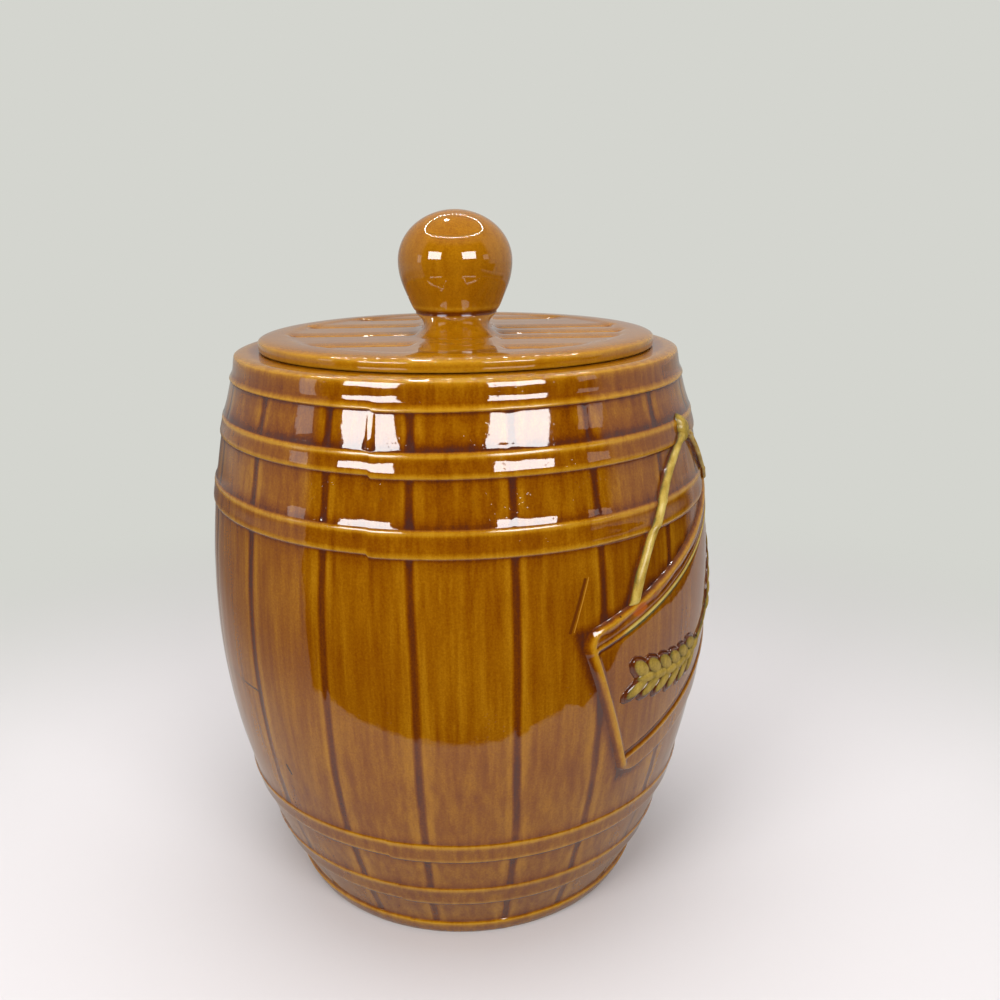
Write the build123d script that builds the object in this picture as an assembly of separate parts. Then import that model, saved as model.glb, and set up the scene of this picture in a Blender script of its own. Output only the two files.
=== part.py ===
from build123d import *
import os
from math import asin, atan2, cos, degrees, dist, radians, sin, sqrt

# Biscuit jar in the form of a coopered barrel, slip-cast in glazed earthenware.
# It is two pieces: the jar, and a lid with its knob cast on.
# Millimetres, +Z up, origin at the centre of the foot, front towards -Y.
# Azimuths are in degrees, counted from the front and positive towards +X.

# ---- jar: barrel form (the staves' skin, without hoops) ----
rim_height = 206.5            # flat rim that the lid rests on
rim_radius = 79.4
belly_height = 114.0          # where the barrel is widest
belly_radius = 93.9
foot_radius = 64.7            # at the ground

# ---- jar: walls ----
wall = 7.0
floor_thickness = 7.0
floor_corner_radius = 10.0
foot_recess = 2.5             # hollow under the base, inside the foot ring
foot_ring_width = 7.0
mouth_radius = 63.0
lip_land = 8.0                # upright part of the mouth
lip_slope = 14.0              # height over which the lip thins to the wall
mouth_rounding = 1.5
rim_rounding = 2.5
foot_rounding = 1.2

# ---- jar: joints between the staves ----
stave_count = 18
joint_width = 2.4
joint_depth = 0.9
front_joint_azimuth = -48.2   # first joint of the row of narrower staves in front
front_staves = 5
front_stave_angle = 19.3
joint_gap = 0.3               # between the end of a joint and the next hoop

# ---- jar: hoops (raised bands) and the gaps that place them from the rim and the foot ----
hoop_rise = 0.85
foot_hoop_rise = 1.3
hoop_dish = 0.35              # hollow of a band between its two rounded edges
hoop_edge = 1.6               # width of one rounded edge
head_hoop_width = 9.2         # at the rim
head_gap = 11.5
upper_quarter_hoop_width = 7.6
upper_gap = 15.0
upper_bilge_hoop_width = 8.6
lower_bilge_hoop_width = 8.2
lower_gap = 14.5
lower_quarter_hoop_width = 9.0
foot_gap = 12.2
foot_hoop_width = 7.3

# ---- jar: hanging sign in relief ----
sign_azimuth = 64.6
sign_height = 117.2           # centre of the board
sign_length = 116.0           # measured straight across the curve
sign_width = 62.5
sign_bow = 4.5                # of the board's lower edge
sign_tilt = 21.0
sign_rise = 1.6
top_border = 8.8              # border widths of the board
side_border = 3.2
bottom_border = 8.6
panel_sink = 0.8
bar_width = 4.6               # heavy rail along the board's top edge
bar_rise = 2.3

# ---- jar: rope in relief that the sign hangs from ----
nail_offset = -6.0            # sideways from the sign's centre
nail_above_hoop = 1.2         # from the middle of the upper quarter hoop
nail_radius = 3.6
nail_rise = 3.0
rope_width = 3.4
rope_rise = 2.2
rope_inset = 20.4             # from each end of the board
left_rope_bow = -5.4          # sideways, half way down the strand
right_rope_bow = 2.0

# ---- lid: plate ----
lid_radius = 72.0
lid_thickness = 5.0
lid_edge_height = 3.2         # upright edge below the rounded shoulder
lid_shoulder = 8.0
lid_lower_rounding = 0.9
flange_clearance = 1.5        # all round, between the flange and the mouth
flange_depth = 12.0
flange_wall = 6.0
flange_rounding = 1.2

# ---- lid: barrel head with planks and a cross batten ----
head_radius = 62.0
head_sink = 0.5
batten_width = 24.8
left_joints = (46.0, 21.0, -6.0, -35.0)             # along Y, at the -X side
right_joints = (44.0, 12.0, -5.0, -20.5, -45.5)     # along Y, at the +X side
head_half_span = 59.0         # from the middle to the last plank's edge
plank_joint_width = 2.6
plank_joint_depth = 1.0

# ---- lid: neck and knob ----
neck_foot_width = 28.0
neck_foot_length = 49.0
neck_foot_corner = 6.0
neck_waist_width = 23.4
neck_waist_length = 31.0
neck_waist_corner = 6.0
neck_waist_height = 3.2       # above the plate
neck_height = 6.2             # above the plate
neck_top_radius = 14.8
neck_top_corner = 14.6        # a little less than the radius, which leaves short straights
crease_depth = 1.2
crease_height = 1.2
knob_foot_radius = 15.6
knob_cone_radius = 18.9       # where the cone meets the ball
knob_cone_height = 8.0
knob_radius = 20.8
knob_lower_height = 9.4       # from the cone to the widest point
knob_upper_height = 18.0      # from the widest point to the top
knob_wall = 6.8
vent_radius = 4.0             # drains and vents the hollow knob

# ---- sizes that follow ----
lid_top = rim_height + lid_thickness
neck_top = lid_top + neck_height
knob_foot = neck_top + crease_height
knob_widest = knob_foot + knob_cone_height + knob_lower_height
overall_height = knob_widest + knob_upper_height
flange_radius = mouth_radius - flange_clearance
floor_top = foot_recess + floor_thickness
nail_height = (rim_height - head_hoop_width - head_gap - upper_quarter_hoop_width / 2
               + nail_above_hoop)


def arc_radius(rise, run):
    """Radius of an arc that starts upright and leaves its tangent by run over rise."""
    return (rise**2 + run**2) / (2 * run)


upper_arc = arc_radius(rim_height - belly_height, belly_radius - rim_radius)
lower_arc = arc_radius(belly_height, belly_radius - foot_radius)


def skin(z, offset=0.0):
    """Radius of the staves' skin at height z, moved outwards by offset."""
    arc = upper_arc if z > belly_height else lower_arc
    return belly_radius - arc + sqrt((arc + offset)**2 - (z - belly_height)**2)


def skin_arc(z_start, z_end, offset=0.0):
    """Arc of the skin in the XZ plane between two heights on one side of the belly."""
    z_middle = (z_start + z_end) / 2
    return ThreePointArc((skin(z_start, offset), 0, z_start),
                         (skin(z_middle, offset), 0, z_middle),
                         (skin(z_end, offset), 0, z_end))


def turned(*curves):
    """Solid of revolution about Z, from the curves of one closed outline."""
    return revolve(make_face(Wire.combine(curves)[0]), Axis.Z)


def polyline(*points):
    """Straight edges in the XZ plane through (radius, height) points."""
    return [Line((a[0], 0, a[1]), (b[0], 0, b[1])) for a, b in zip(points, points[1:])]


def tilted(along, across):
    """Board coordinates to the sign's plane, turned by the sign's tilt."""
    turn = radians(sign_tilt)
    return (along * cos(turn) - across * sin(turn), along * sin(turn) + across * cos(turn))


# ---------------------------------------------------------------- jar
def band(bottom, top):
    """Outline of a hoop: two rounded edges with a shallow hollow between them."""
    low, high = bottom + hoop_edge, top - hoop_edge
    crest_low = (skin(low, hoop_rise), 0, low)
    crest_high = (skin(high, hoop_rise), 0, high)
    hollow = (skin((low + high) / 2, hoop_rise - hoop_dish), 0, (low + high) / 2)
    return [Bezier((skin(bottom), 0, bottom), (skin(bottom, hoop_rise), 0, bottom), crest_low),
            ThreePointArc(crest_low, hollow, crest_high),
            Bezier(crest_high, (skin(top, hoop_rise), 0, top), (skin(top), 0, top))]


def head_band():
    """Outline of the hoop at the rim, rounded over to the flat seat of the lid."""
    bottom = rim_height - head_hoop_width
    low, high = bottom + hoop_edge, rim_height - rim_rounding
    crest_low = (skin(low, hoop_rise), 0, low)
    crest_high = (skin(high, hoop_rise), 0, high)
    hollow = (skin((low + high) / 2, hoop_rise - hoop_dish), 0, (low + high) / 2)
    corner = skin(rim_height, hoop_rise)
    return [Bezier((skin(bottom), 0, bottom), (skin(bottom, hoop_rise), 0, bottom), crest_low),
            ThreePointArc(crest_low, hollow, crest_high),
            Bezier(crest_high, (corner, 0, rim_height), (corner - rim_rounding, 0, rim_height))]


def foot_band():
    """Outline of the hoop at the ground, rounded under to the foot ring."""
    high = foot_hoop_width - hoop_edge
    crest_low = (skin(foot_rounding, foot_hoop_rise), 0, foot_rounding)
    crest_high = (skin(high, foot_hoop_rise), 0, high)
    top_corner = (skin(foot_hoop_width, foot_hoop_rise), 0, foot_hoop_width)
    return [Bezier((foot_radius, 0, 0), (skin(0, foot_hoop_rise), 0, 0), crest_low),
            Line(crest_low, crest_high),
            Bezier(crest_high, top_corner, (skin(foot_hoop_width), 0, foot_hoop_width))]


def hoop_spans():
    """Bottom and top of the four hoops between the foot and the rim, from below."""
    lower_quarter = foot_hoop_width + foot_gap
    lower_bilge = lower_quarter + lower_quarter_hoop_width + lower_gap
    upper_quarter = rim_height - head_hoop_width - head_gap
    upper_bilge = upper_quarter - upper_quarter_hoop_width - upper_gap
    return [(lower_quarter, lower_quarter + lower_quarter_hoop_width),
            (lower_bilge, lower_bilge + lower_bilge_hoop_width),
            (upper_bilge - upper_bilge_hoop_width, upper_bilge),
            (upper_quarter - upper_quarter_hoop_width, upper_quarter)]


def stave_spans():
    """Heights between which the staves show, split at the belly, from below."""
    edges = [foot_hoop_width, *(z for span in hoop_spans() for z in span),
             rim_height - head_hoop_width]
    spans = list(zip(edges[::2], edges[1::2]))
    split = [span for span in spans if not span[0] < belly_height < span[1]]
    for low, high in spans:
        if low < belly_height < high:
            split += [(low, belly_height), (belly_height, high)]
    return sorted(split)


def barrel():
    """The jar's plain body: staves and hoops outside, hollow inside, recessed foot."""
    outside = foot_band() + [skin_arc(low, high) for low, high in stave_spans()] + head_band()
    for low, high in hoop_spans():
        outside += band(low, high)
    seat_edge = skin(rim_height, hoop_rise) - rim_rounding
    solid = turned(*outside, *polyline((seat_edge, rim_height), (0, rim_height), (0, 0),
                                       (foot_radius, 0)))
    lip_bottom = rim_height - lip_land
    slope_bottom = lip_bottom - lip_slope
    hollow = turned(
        skin_arc(floor_top, belly_height, -wall),
        skin_arc(belly_height, slope_bottom, -wall),
        *polyline((skin(slope_bottom, -wall), slope_bottom), (mouth_radius, lip_bottom),
                  (mouth_radius, rim_height), (0, rim_height), (0, floor_top),
                  (skin(floor_top, -wall), floor_top)))
    hollow = fillet(hollow.edges().group_by(Axis.Z)[0], floor_corner_radius)
    recess = Cylinder(foot_radius - foot_ring_width, foot_recess,
                      align=(Align.CENTER, Align.CENTER, Align.MIN))
    body = solid - hollow - recess
    mouth = body.edges().filter_by(GeomType.CIRCLE).group_by(Axis.Z)[-1].sort_by(SortBy.RADIUS)
    return fillet(mouth[0], mouth_rounding)


def joint_cut(low, high):
    """Round cutter for a joint between staves from low to high, at azimuth 0."""
    arc = upper_arc if high > belly_height else lower_arc
    tube_radius = arc_radius(joint_width / 2, joint_depth)
    start, end = (degrees(asin((z - belly_height) / arc)) for z in (low, high))
    pivot = Axis((belly_radius - arc, 0, belly_height), (0, -1, 0))
    section = Pos(belly_radius + tube_radius - joint_depth, 0, belly_height) * Circle(tube_radius)
    return revolve(section.rotate(pivot, start), pivot, end - start)


def joint_azimuths():
    """Azimuths of the joints: a row of narrower staves in front, even ones behind."""
    front = [front_joint_azimuth + i * front_stave_angle for i in range(front_staves + 1)]
    rest = stave_count - front_staves
    step = (360 - front_staves * front_stave_angle) / rest
    return front + [front[-1] + i * step for i in range(1, rest)]


def joint_cuts():
    """Cutters for all joints, each ending joint_gap short of the hoops."""
    cutters = []
    for low, high in stave_spans():
        start = low if low == belly_height else low + joint_gap
        end = high if high == belly_height else high - joint_gap
        cutter = joint_cut(start, end)
        cutters += [Rot(0, 0, azimuth - 90) * cutter for azimuth in joint_azimuths()]
    return cutters


def relief_shell(inner, outer):
    """Thin barrel between two offsets from the skin, where the sign and rope lie."""
    low = sign_height - (sign_length + sign_width) / 2
    low, high = max(low, foot_hoop_width), rim_height - head_hoop_width
    return turned(
        skin_arc(low, belly_height, outer), skin_arc(belly_height, high, outer),
        *polyline((skin(high, outer), high), (skin(high, inner), high)),
        skin_arc(high, belly_height, inner), skin_arc(belly_height, low, inner),
        *polyline((skin(low, inner), low), (skin(low, outer), low)))


def on_sign_side(sketch, inner, outer):
    """The sketch's outline, cut from the shell between two offsets on the sign's side."""
    turn = radians(sign_azimuth)
    face = Plane(origin=(0, 0, sign_height), x_dir=(cos(turn), sin(turn), 0),
                 z_dir=(sin(turn), -cos(turn), 0))
    return extrude(face * sketch, belly_radius + outer) & relief_shell(inner, outer)


def bowed(half_length, low, high):
    """Tilted outline with straight top and sides, whose lower edge bows down."""
    corners = [(-half_length, low), (-half_length, high), (half_length, high),
               (half_length, low)]
    sides = [Line(a, b) for a, b in zip(corners, corners[1:])]
    lower_edge = ThreePointArc(corners[-1], (0, low - sign_bow), corners[0])
    return Rot(0, 0, sign_tilt) * make_face(Wire.combine([*sides, lower_edge])[0])


def board_outlines():
    """Outlines of the sign's board, of the sunk panel inside its borders and of the rail."""
    half_length, half_width = sign_length / 2, sign_width / 2
    board = bowed(half_length, -half_width, half_width)
    panel = bowed(half_length - side_border, bottom_border - half_width,
                  half_width - top_border)
    rail = Rot(0, 0, sign_tilt) * Pos(0, half_width - bar_width / 2) * Rectangle(sign_length,
                                                                                 bar_width)
    return board, panel, rail


def strand(board_end, bow):
    """Run of rope from the nail to the board's top edge, bowed sideways."""
    anchor = tilted(board_end, sign_width / 2)
    nail = (nail_offset, nail_height - sign_height)
    middle = ((anchor[0] + nail[0]) / 2 + bow, (anchor[1] + nail[1]) / 2)
    rope = Sketch()
    for start, end in ((nail, middle), (middle, anchor)):
        turn = degrees(atan2(end[1] - start[1], end[0] - start[0]))
        centre = Pos((start[0] + end[0]) / 2, (start[1] + end[1]) / 2)
        rope += centre * Rot(0, 0, turn) * SlotCenterToCenter(dist(start, end), rope_width)
    return rope


def jar_body():
    """The whole jar: barrel, joints between staves, sign and rope."""
    root = -wall / 2
    board, panel, rail = board_outlines()
    nail = Pos(nail_offset, nail_height - sign_height) * Circle(nail_radius)
    rope = strand(-sign_length / 2 + rope_inset, left_rope_bow)
    rope += strand(sign_length / 2 - rope_inset, right_rope_bow)
    body = barrel() - joint_cuts()
    body += on_sign_side(board, root, sign_rise)
    body -= on_sign_side(panel, sign_rise - panel_sink, sign_rise + panel_sink)
    body += on_sign_side(rail, root, bar_rise)
    body += on_sign_side(rope, root, rope_rise)
    return body + on_sign_side(nail, root, nail_rise)


# ---------------------------------------------------------------- lid
def lid_plate():
    """Round plate with a rounded shoulder, and the flange that centres it."""
    shoulder_start = (lid_radius, 0, rim_height + lid_edge_height)
    shoulder_end = (lid_radius - lid_shoulder, 0, lid_top)
    low = rim_height + lid_lower_rounding
    return turned(
        *polyline((lid_radius - lid_shoulder, lid_top), (0, lid_top), (0, rim_height),
                  (flange_radius - flange_wall, rim_height),
                  (flange_radius - flange_wall, rim_height - flange_depth + flange_rounding),
                  (flange_radius - flange_wall + flange_rounding, rim_height - flange_depth),
                  (flange_radius - flange_rounding, rim_height - flange_depth),
                  (flange_radius, rim_height - flange_depth + flange_rounding),
                  (flange_radius, rim_height), (lid_radius - lid_lower_rounding, rim_height)),
        Bezier((lid_radius - lid_lower_rounding, 0, rim_height), (lid_radius, 0, rim_height),
               (lid_radius, 0, low)),
        Line((lid_radius, 0, low), shoulder_start),
        Bezier(shoulder_start, (lid_radius, 0, lid_top), shoulder_end))


def plank_cuts():
    """What is cut from the plate to leave the sunk planks each side of the batten."""
    field = Circle(head_radius) & Rectangle(2 * head_radius, 2 * head_half_span)
    field -= Rectangle(batten_width, 2 * head_radius)
    cuts = [extrude(Pos(0, 0, lid_top - head_sink) * field, lid_thickness)]
    tube_radius = arc_radius(plank_joint_width / 2, plank_joint_depth)
    height = lid_top - head_sink + tube_radius - plank_joint_depth
    for side, joints in ((-1, left_joints), (1, right_joints)):
        for y in joints:
            reach = sqrt(head_radius**2 - y**2)
            tube = Rot(0, 90, 0) * Cylinder(tube_radius, reach - batten_width / 2)
            cuts.append(Pos(side * (reach + batten_width / 2) / 2, y, height) * tube)
    return cuts


def neck():
    """Block between the batten and the knob, waisted like a turned handle."""
    sections = [
        (neck_foot_width, neck_foot_length, lid_top - head_sink, neck_foot_corner),
        (neck_waist_width, neck_waist_length, lid_top + neck_waist_height, neck_waist_corner),
        (2 * neck_top_radius, 2 * neck_top_radius, neck_top, neck_top_corner)]
    faces = [Pos(0, 0, z) * RectangleRounded(width, length, corner)
             for width, length, z, corner in sections]
    return loft(faces)


def knob():
    """Ball on a cone, with the sharp crease under it."""
    crease_radius = knob_foot_radius - crease_depth
    crease_z = neck_top + crease_height / 2
    cone_end = (knob_cone_radius, 0, knob_foot + knob_cone_height)
    widest = (knob_radius, 0, knob_widest)
    lower_bulge = arc_radius(knob_lower_height, knob_radius - knob_cone_radius)
    half = knob_widest - knob_lower_height / 2
    bulge_point = (knob_radius - lower_bulge + sqrt(lower_bulge**2 - (knob_lower_height / 2)**2),
                   0, half)
    pull = 4 / 3 * (sqrt(2) - 1)      # makes a cubic curve follow a quarter oval
    dome = Bezier(widest, (knob_radius, 0, knob_widest + pull * knob_upper_height),
                  (pull * knob_radius, 0, overall_height), (0, 0, overall_height))
    return turned(
        *polyline((0, overall_height), (0, lid_top), (crease_radius, lid_top),
                  (crease_radius, crease_z), (knob_foot_radius, knob_foot)),
        Line((knob_foot_radius, 0, knob_foot), cone_end),
        ThreePointArc(cone_end, bulge_point, widest), dome)


def knob_hollow():
    """Hollow of the knob and its vent, open at the lid's underside."""
    ball = Pos(0, 0, knob_widest) * Sphere(knob_radius - knob_wall)
    vent = Pos(0, 0, rim_height) * Cylinder(vent_radius, knob_widest - rim_height,
                                            align=(Align.CENTER, Align.CENTER, Align.MIN))
    return [ball, vent]


def lid():
    """The whole lid: plate, planks, neck and hollow knob."""
    return lid_plate() - plank_cuts() + neck() + knob() - knob_hollow()


os.makedirs("parts", exist_ok=True)
export_step(jar_body(), "parts/jar_body.step")
export_step(lid(), "parts/lid.step")
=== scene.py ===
"""Looks of a barrel-shaped biscuit jar in amber glaze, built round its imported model.

The jar is one casting in the form of a coopered barrel, with staves, hoops and a hanging
sign in relief.  The lid is a second casting: a planked barrel head with a ball knob.  The
clay of each casting is meshed first, and the glaze is then settled on it: where it stands
thick in a hollow it is plum brown, and where it thins over a ridge it breaks to straw.

Lengths are in millimetres until a mesh is made, and in metres after that.  Azimuths are in
degrees, counted from the front (-Y) and positive towards +X.
"""

import logging
import math
from collections.abc import Callable
from dataclasses import dataclass
from enum import Enum

import bpy
import numpy as np
from bpy.types import Material, Mesh, Node, Object
from mathutils import Matrix, Vector


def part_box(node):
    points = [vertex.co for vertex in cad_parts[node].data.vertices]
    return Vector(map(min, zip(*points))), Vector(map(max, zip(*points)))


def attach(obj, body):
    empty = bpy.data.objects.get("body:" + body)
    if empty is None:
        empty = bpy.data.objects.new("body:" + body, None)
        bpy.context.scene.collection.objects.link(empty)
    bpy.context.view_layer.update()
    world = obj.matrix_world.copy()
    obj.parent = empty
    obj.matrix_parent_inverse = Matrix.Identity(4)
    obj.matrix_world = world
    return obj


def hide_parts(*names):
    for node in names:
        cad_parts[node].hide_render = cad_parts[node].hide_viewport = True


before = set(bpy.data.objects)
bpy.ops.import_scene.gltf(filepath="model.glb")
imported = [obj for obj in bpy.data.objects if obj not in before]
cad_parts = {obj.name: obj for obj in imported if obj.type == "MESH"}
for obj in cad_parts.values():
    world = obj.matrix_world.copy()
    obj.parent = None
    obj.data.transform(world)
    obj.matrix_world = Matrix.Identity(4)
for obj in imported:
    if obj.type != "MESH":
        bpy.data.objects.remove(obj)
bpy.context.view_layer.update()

MM = 0.001                      # metres in a millimetre
BARE = "bare_clay"              # mark of the faces without glaze
Array = np.ndarray
Colour = tuple[float, float, float]
log = logging.getLogger("biscuit_jar")


# ------------------------------------------------------------------ numbers and colours
def ease(value: Array, low: float, high: float) -> Array:
    """Smooth step from 0 at low to 1 at high; low may be the larger one."""
    share = np.clip((value - low) / (high - low), 0.0, 1.0)
    return share * share * (3.0 - 2.0 * share)


def hump(value: Array, centre: float, width: float) -> Array:
    """Bell that is 1 at its centre."""
    return np.exp(-((value - centre) / width)**2)


def round_over(share: Array) -> Array:
    """Height of a rounded edge, from 0 at share 0 to 1 at share 1."""
    return np.sqrt(np.clip(1 - (1 - np.clip(share, 0, 1))**2, 0, 1))


def linear(colour: Colour) -> tuple[float, float, float, float]:
    """Scene-linear RGBA of a colour written in the usual 0 to 255 scale."""
    parts = [c / 255 for c in colour]
    return (*[p / 12.92 if p < 0.04045 else ((p + 0.055) / 1.055) ** 2.4 for p in parts], 1.0)


def turned(azimuth: Array, radius: Array, height: Array) -> Array:
    """Points on circles round the axis.

    Args:
        azimuth: Degrees from the front.
        radius: Distance from the axis.
        height: Height above the ground.

    Returns:
        Array of XYZ rows.
    """
    turn = np.radians(azimuth)
    flat = np.broadcast_arrays(radius * np.sin(turn), -radius * np.cos(turn), height)
    return np.stack(flat, axis=-1)


# ------------------------------------------------------------------ node trees
def math_method(operation: str, swapped: bool = False) -> Callable[..., "Value"]:
    """Method that makes a math node of a Value and of what it is called with.

    Args:
        operation: What the node does.
        swapped: Whether the Value comes last.

    Returns:
        The method.
    """

    def method(self: "Value", *others: "Value | float") -> "Value":
        """Result of the node."""
        return self.tree.math(operation, *((*others, self) if swapped else (self, *others)))

    return method


class Value:
    """A socket of a node tree that takes part in sums, as a number does."""

    __add__, __sub__, __mul__, __truediv__, __abs__, least, most, root = map(math_method, (
        "ADD", "SUBTRACT", "MULTIPLY", "DIVIDE", "ABSOLUTE", "MINIMUM", "MAXIMUM", "SQRT"))
    __rsub__ = math_method("SUBTRACT", swapped=True)
    __rtruediv__ = math_method("DIVIDE", swapped=True)

    def __init__(self, tree: "Tree", socket: bpy.types.NodeSocket) -> None:
        """Wraps one output socket of the tree."""
        self.tree, self.socket = tree, socket

    def ease(self, low: "Value | float", high: "Value | float") -> "Value":
        """Smooth step from 0 at low to 1 at high.

        Args:
            low: Where the step starts.
            high: Where it ends; it may be the smaller one.

        Returns:
            The step.
        """
        return self.tree.take("ShaderNodeMapRange", "Result",
                              {"Value": self, "From Min": low, "From Max": high},
                              interpolation_type="SMOOTHSTEP")


class Tree:
    """Short ways to grow a shader or geometry node tree."""

    def __init__(self, group: bpy.types.NodeTree) -> None:
        """Starts on an existing, empty node tree."""
        self.group = group

    def node(self, kind: str, inputs: dict[str | int, object] | None = None,
             **settings: object) -> Node:
        """New node with its settings, and with its inputs linked to Values or set.

        Args:
            kind: Type of the node.
            inputs: Value of each input, by name or number.
            settings: Its other settings.

        Returns:
            The node.
        """
        made = self.group.nodes.new(kind)
        for name, value in settings.items():
            setattr(made, name, value)
        for name, value in (inputs or {}).items():
            if isinstance(value, Value):
                self.group.links.new(value.socket, made.inputs[name])
            else:
                made.inputs[name].default_value = value
        return made

    def take(self, kind: str, output: str | int, inputs: dict[str | int, object] | None = None,
             **settings: object) -> Value:
        """One output of a new node."""
        return Value(self, self.node(kind, inputs, **settings).outputs[output])

    def math(self, operation: str, *values: "Value | float") -> Value:
        """Result of a math node."""
        return self.take("ShaderNodeMath", 0, dict(enumerate(values)), operation=operation)

    def vector(self, operation: str, first: "Value | list[float]",
               second: "Value | Colour" = (0.0, 0.0, 0.0)) -> Value:
        """Vector result of a vector math node.

        Args:
            operation: What the node does.
            first: First vector.
            second: Second vector, or the scale.

        Returns:
            The result.
        """
        return self.take("ShaderNodeVectorMath", "Vector",
                         {0: first, "Scale" if operation == "SCALE" else 1: second},
                         operation=operation)

    def xyz(self, *parts: "Value | float") -> Value:
        """A vector put together from its parts."""
        return self.take("ShaderNodeCombineXYZ", 0, dict(enumerate(parts)))

    def split(self, vector: Value) -> list[Value]:
        """The X, Y and Z of a vector."""
        made = self.node("ShaderNodeSeparateXYZ", {0: vector})
        return [Value(self, socket) for socket in made.outputs]

    def place(self, kind: str = "Object") -> Value:
        """Texture coordinates of a kind."""
        return self.take("ShaderNodeTexCoord", kind)

    def ray(self, kind: str) -> Value:
        """1 for rays of a kind."""
        return self.take("ShaderNodeLightPath", f"Is {kind} Ray")

    def noise(self, vector: Value, scale: "Value | float", detail: float = 2.0,
              roughness: float = 0.5, seed: "Value | float" = 0.0) -> Value:
        """Noise about 0.5, drawn at a fixed place in its fourth dimension.

        Args:
            vector: Where it is drawn.
            scale: How many lumps there are in a metre.
            detail: Octaves.
            roughness: Strength of each octave against the last.
            seed: Place in the fourth dimension.

        Returns:
            The noise.
        """
        inputs = {"Vector": vector, "W": seed, "Scale": scale, "Detail": detail,
                  "Roughness": roughness}
        return self.take("ShaderNodeTexNoise", "Fac", inputs, noise_dimensions="4D")

    def cells(self, vector: Value, spacing: float) -> Value:
        """Distance to the nearest of many scattered points, as a share of their spacing."""
        return self.take("ShaderNodeTexVoronoi", "Distance",
                         {"Vector": vector, "Scale": 1 / spacing})

    def bump(self, height: Value) -> Value:
        """Normal of a surface with that height."""
        return self.take("ShaderNodeBump", "Normal", {"Height": height, "Distance": 1.0})

    def ramp(self, share: Value, shades: tuple[tuple[float, Colour], ...]) -> Value:
        """Colour at a share, between shades that each have their place.

        Args:
            share: Where the colour is read.
            shades: Place and colour of each shade, in order.

        Returns:
            The colour.
        """
        made = self.node("ShaderNodeValToRGB", {"Fac": share})
        stops = made.color_ramp.elements
        while len(stops) < len(shades):
            stops.new(0.5)
        for stop, (place, colour) in zip(stops, shades):
            stop.position, stop.color = place, linear(colour)
        return Value(self, made.outputs["Color"])

    def mix(self, share: Value, first: object, second: object) -> Value:
        """Second colour over the first by a share."""
        return self.take("ShaderNodeMix", 2, {0: share, 6: first, 7: second},
                         data_type="RGBA")

    def blend(self, share: Value, first: Value, second: Value) -> Value:
        """Second shader over the first by a share."""
        return self.take("ShaderNodeMixShader", 0, {0: share, 1: first, 2: second})

    def end(self, surface: Value, kind: str = "Material") -> None:
        """Ends a shader tree in its surface."""
        self.node(f"ShaderNodeOutput{kind}", {"Surface": surface})


def new_material(name: str) -> tuple[Material, Tree]:
    """An empty material and its tree.

    Args:
        name: Name of the material.

    Returns:
        The material and its tree.
    """
    made = bpy.data.materials.new(name)
    made.use_nodes = True
    made.node_tree.nodes.clear()
    return made, Tree(made.node_tree)


class Recipe:
    """A geometry node tree with named sizes, run once on a piece and then let go."""

    def __init__(self, name: str, sizes: dict[str, float]) -> None:
        """Makes an empty tree whose inputs are the geometry and the sizes.

        Args:
            name: What the tree makes.
            sizes: Value of each named input, in metres, counts or seeds.
        """
        self.tree = Tree(bpy.data.node_groups.new(name, "GeometryNodeTree"))
        self.values: dict[str, float] = {}
        new_socket = self.tree.group.interface.new_socket
        new_socket(name="Geometry", in_out="INPUT", socket_type="NodeSocketGeometry")
        for size, value in sizes.items():
            kind = "NodeSocketInt" if isinstance(value, int) else "NodeSocketFloat"
            socket = new_socket(name=size, in_out="INPUT", socket_type=kind)
            self.values[socket.identifier] = value
        new_socket(name="Geometry", in_out="OUTPUT", socket_type="NodeSocketGeometry")
        self.start = self.tree.node("NodeGroupInput")

    def size(self, name: str) -> Value:
        """A named input as a Value."""
        return Value(self.tree, self.start.outputs[name])

    def attribute(self, name: str) -> Value:
        """A float that is stored on the points."""
        return self.tree.take("GeometryNodeInputNamedAttribute", "Attribute", {"Name": name},
                              data_type="FLOAT")

    def noise(self, vector: Value, size: str, detail: float, roughness: float,
              shift: float = 0.0) -> Value:
        """Noise about 0 that is as coarse as a named size."""
        return self.tree.noise(vector, 1.0 / self.size(size), detail, roughness,
                               self.size("Seed") + shift) - 0.5

    def move(self, offset: Value, material: Material) -> "Recipe":
        """Moves every point by its offset and ends the tree."""
        return self.close(self.tree.take("GeometryNodeSetPosition", "Geometry", {
            "Geometry": self.size("Geometry"), "Offset": offset}), material)

    def close(self, geometry: Value, material: Material) -> "Recipe":
        """Ends the tree in real faces of one material.

        Args:
            geometry: What the tree made.
            material: Material of all the faces.

        Returns:
            The recipe.
        """
        real = self.tree.take("GeometryNodeRealizeInstances", "Geometry",
                              {"Geometry": geometry})
        dressed = self.tree.take("GeometryNodeSetMaterial", "Geometry",
                                 {"Geometry": real, "Material": material})
        self.tree.node("NodeGroupOutput", {0: dressed})
        return self

    def run(self, piece: Object) -> None:
        """Replaces the piece's mesh by what the tree makes of it.

        Args:
            piece: The piece, whose mesh changes.
        """
        modifier = piece.modifiers.new(self.tree.group.name, "NODES")
        modifier.node_group = self.tree.group
        for identifier, value in self.values.items():
            modifier[identifier] = value
        depsgraph = bpy.context.evaluated_depsgraph_get()
        grown = bpy.data.meshes.new_from_object(
            piece.evaluated_get(depsgraph), preserve_all_data_layers=True,
            depsgraph=depsgraph)
        piece.modifiers.remove(modifier)
        plain, piece.data = piece.data, grown
        bpy.data.meshes.remove(plain)
        grown.name = piece.name


# ------------------------------------------------------------------ finishes
class Mark(str, Enum):
    """What is stored on the points for the finishes to read."""

    # the glaze mark also carries painted shade: under each hoop, round the sign and the ropes,
    # under the sign's bar and in the knot's hole
    GLAZE = "glaze"             # -1 where it is thin, 0 on a plain face, 1 where it pools
    PAINT = "paint"             # 1 under the sign painter's olive colour
    EMBER = "ember"             # 1 under the orange touch on the sign


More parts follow.
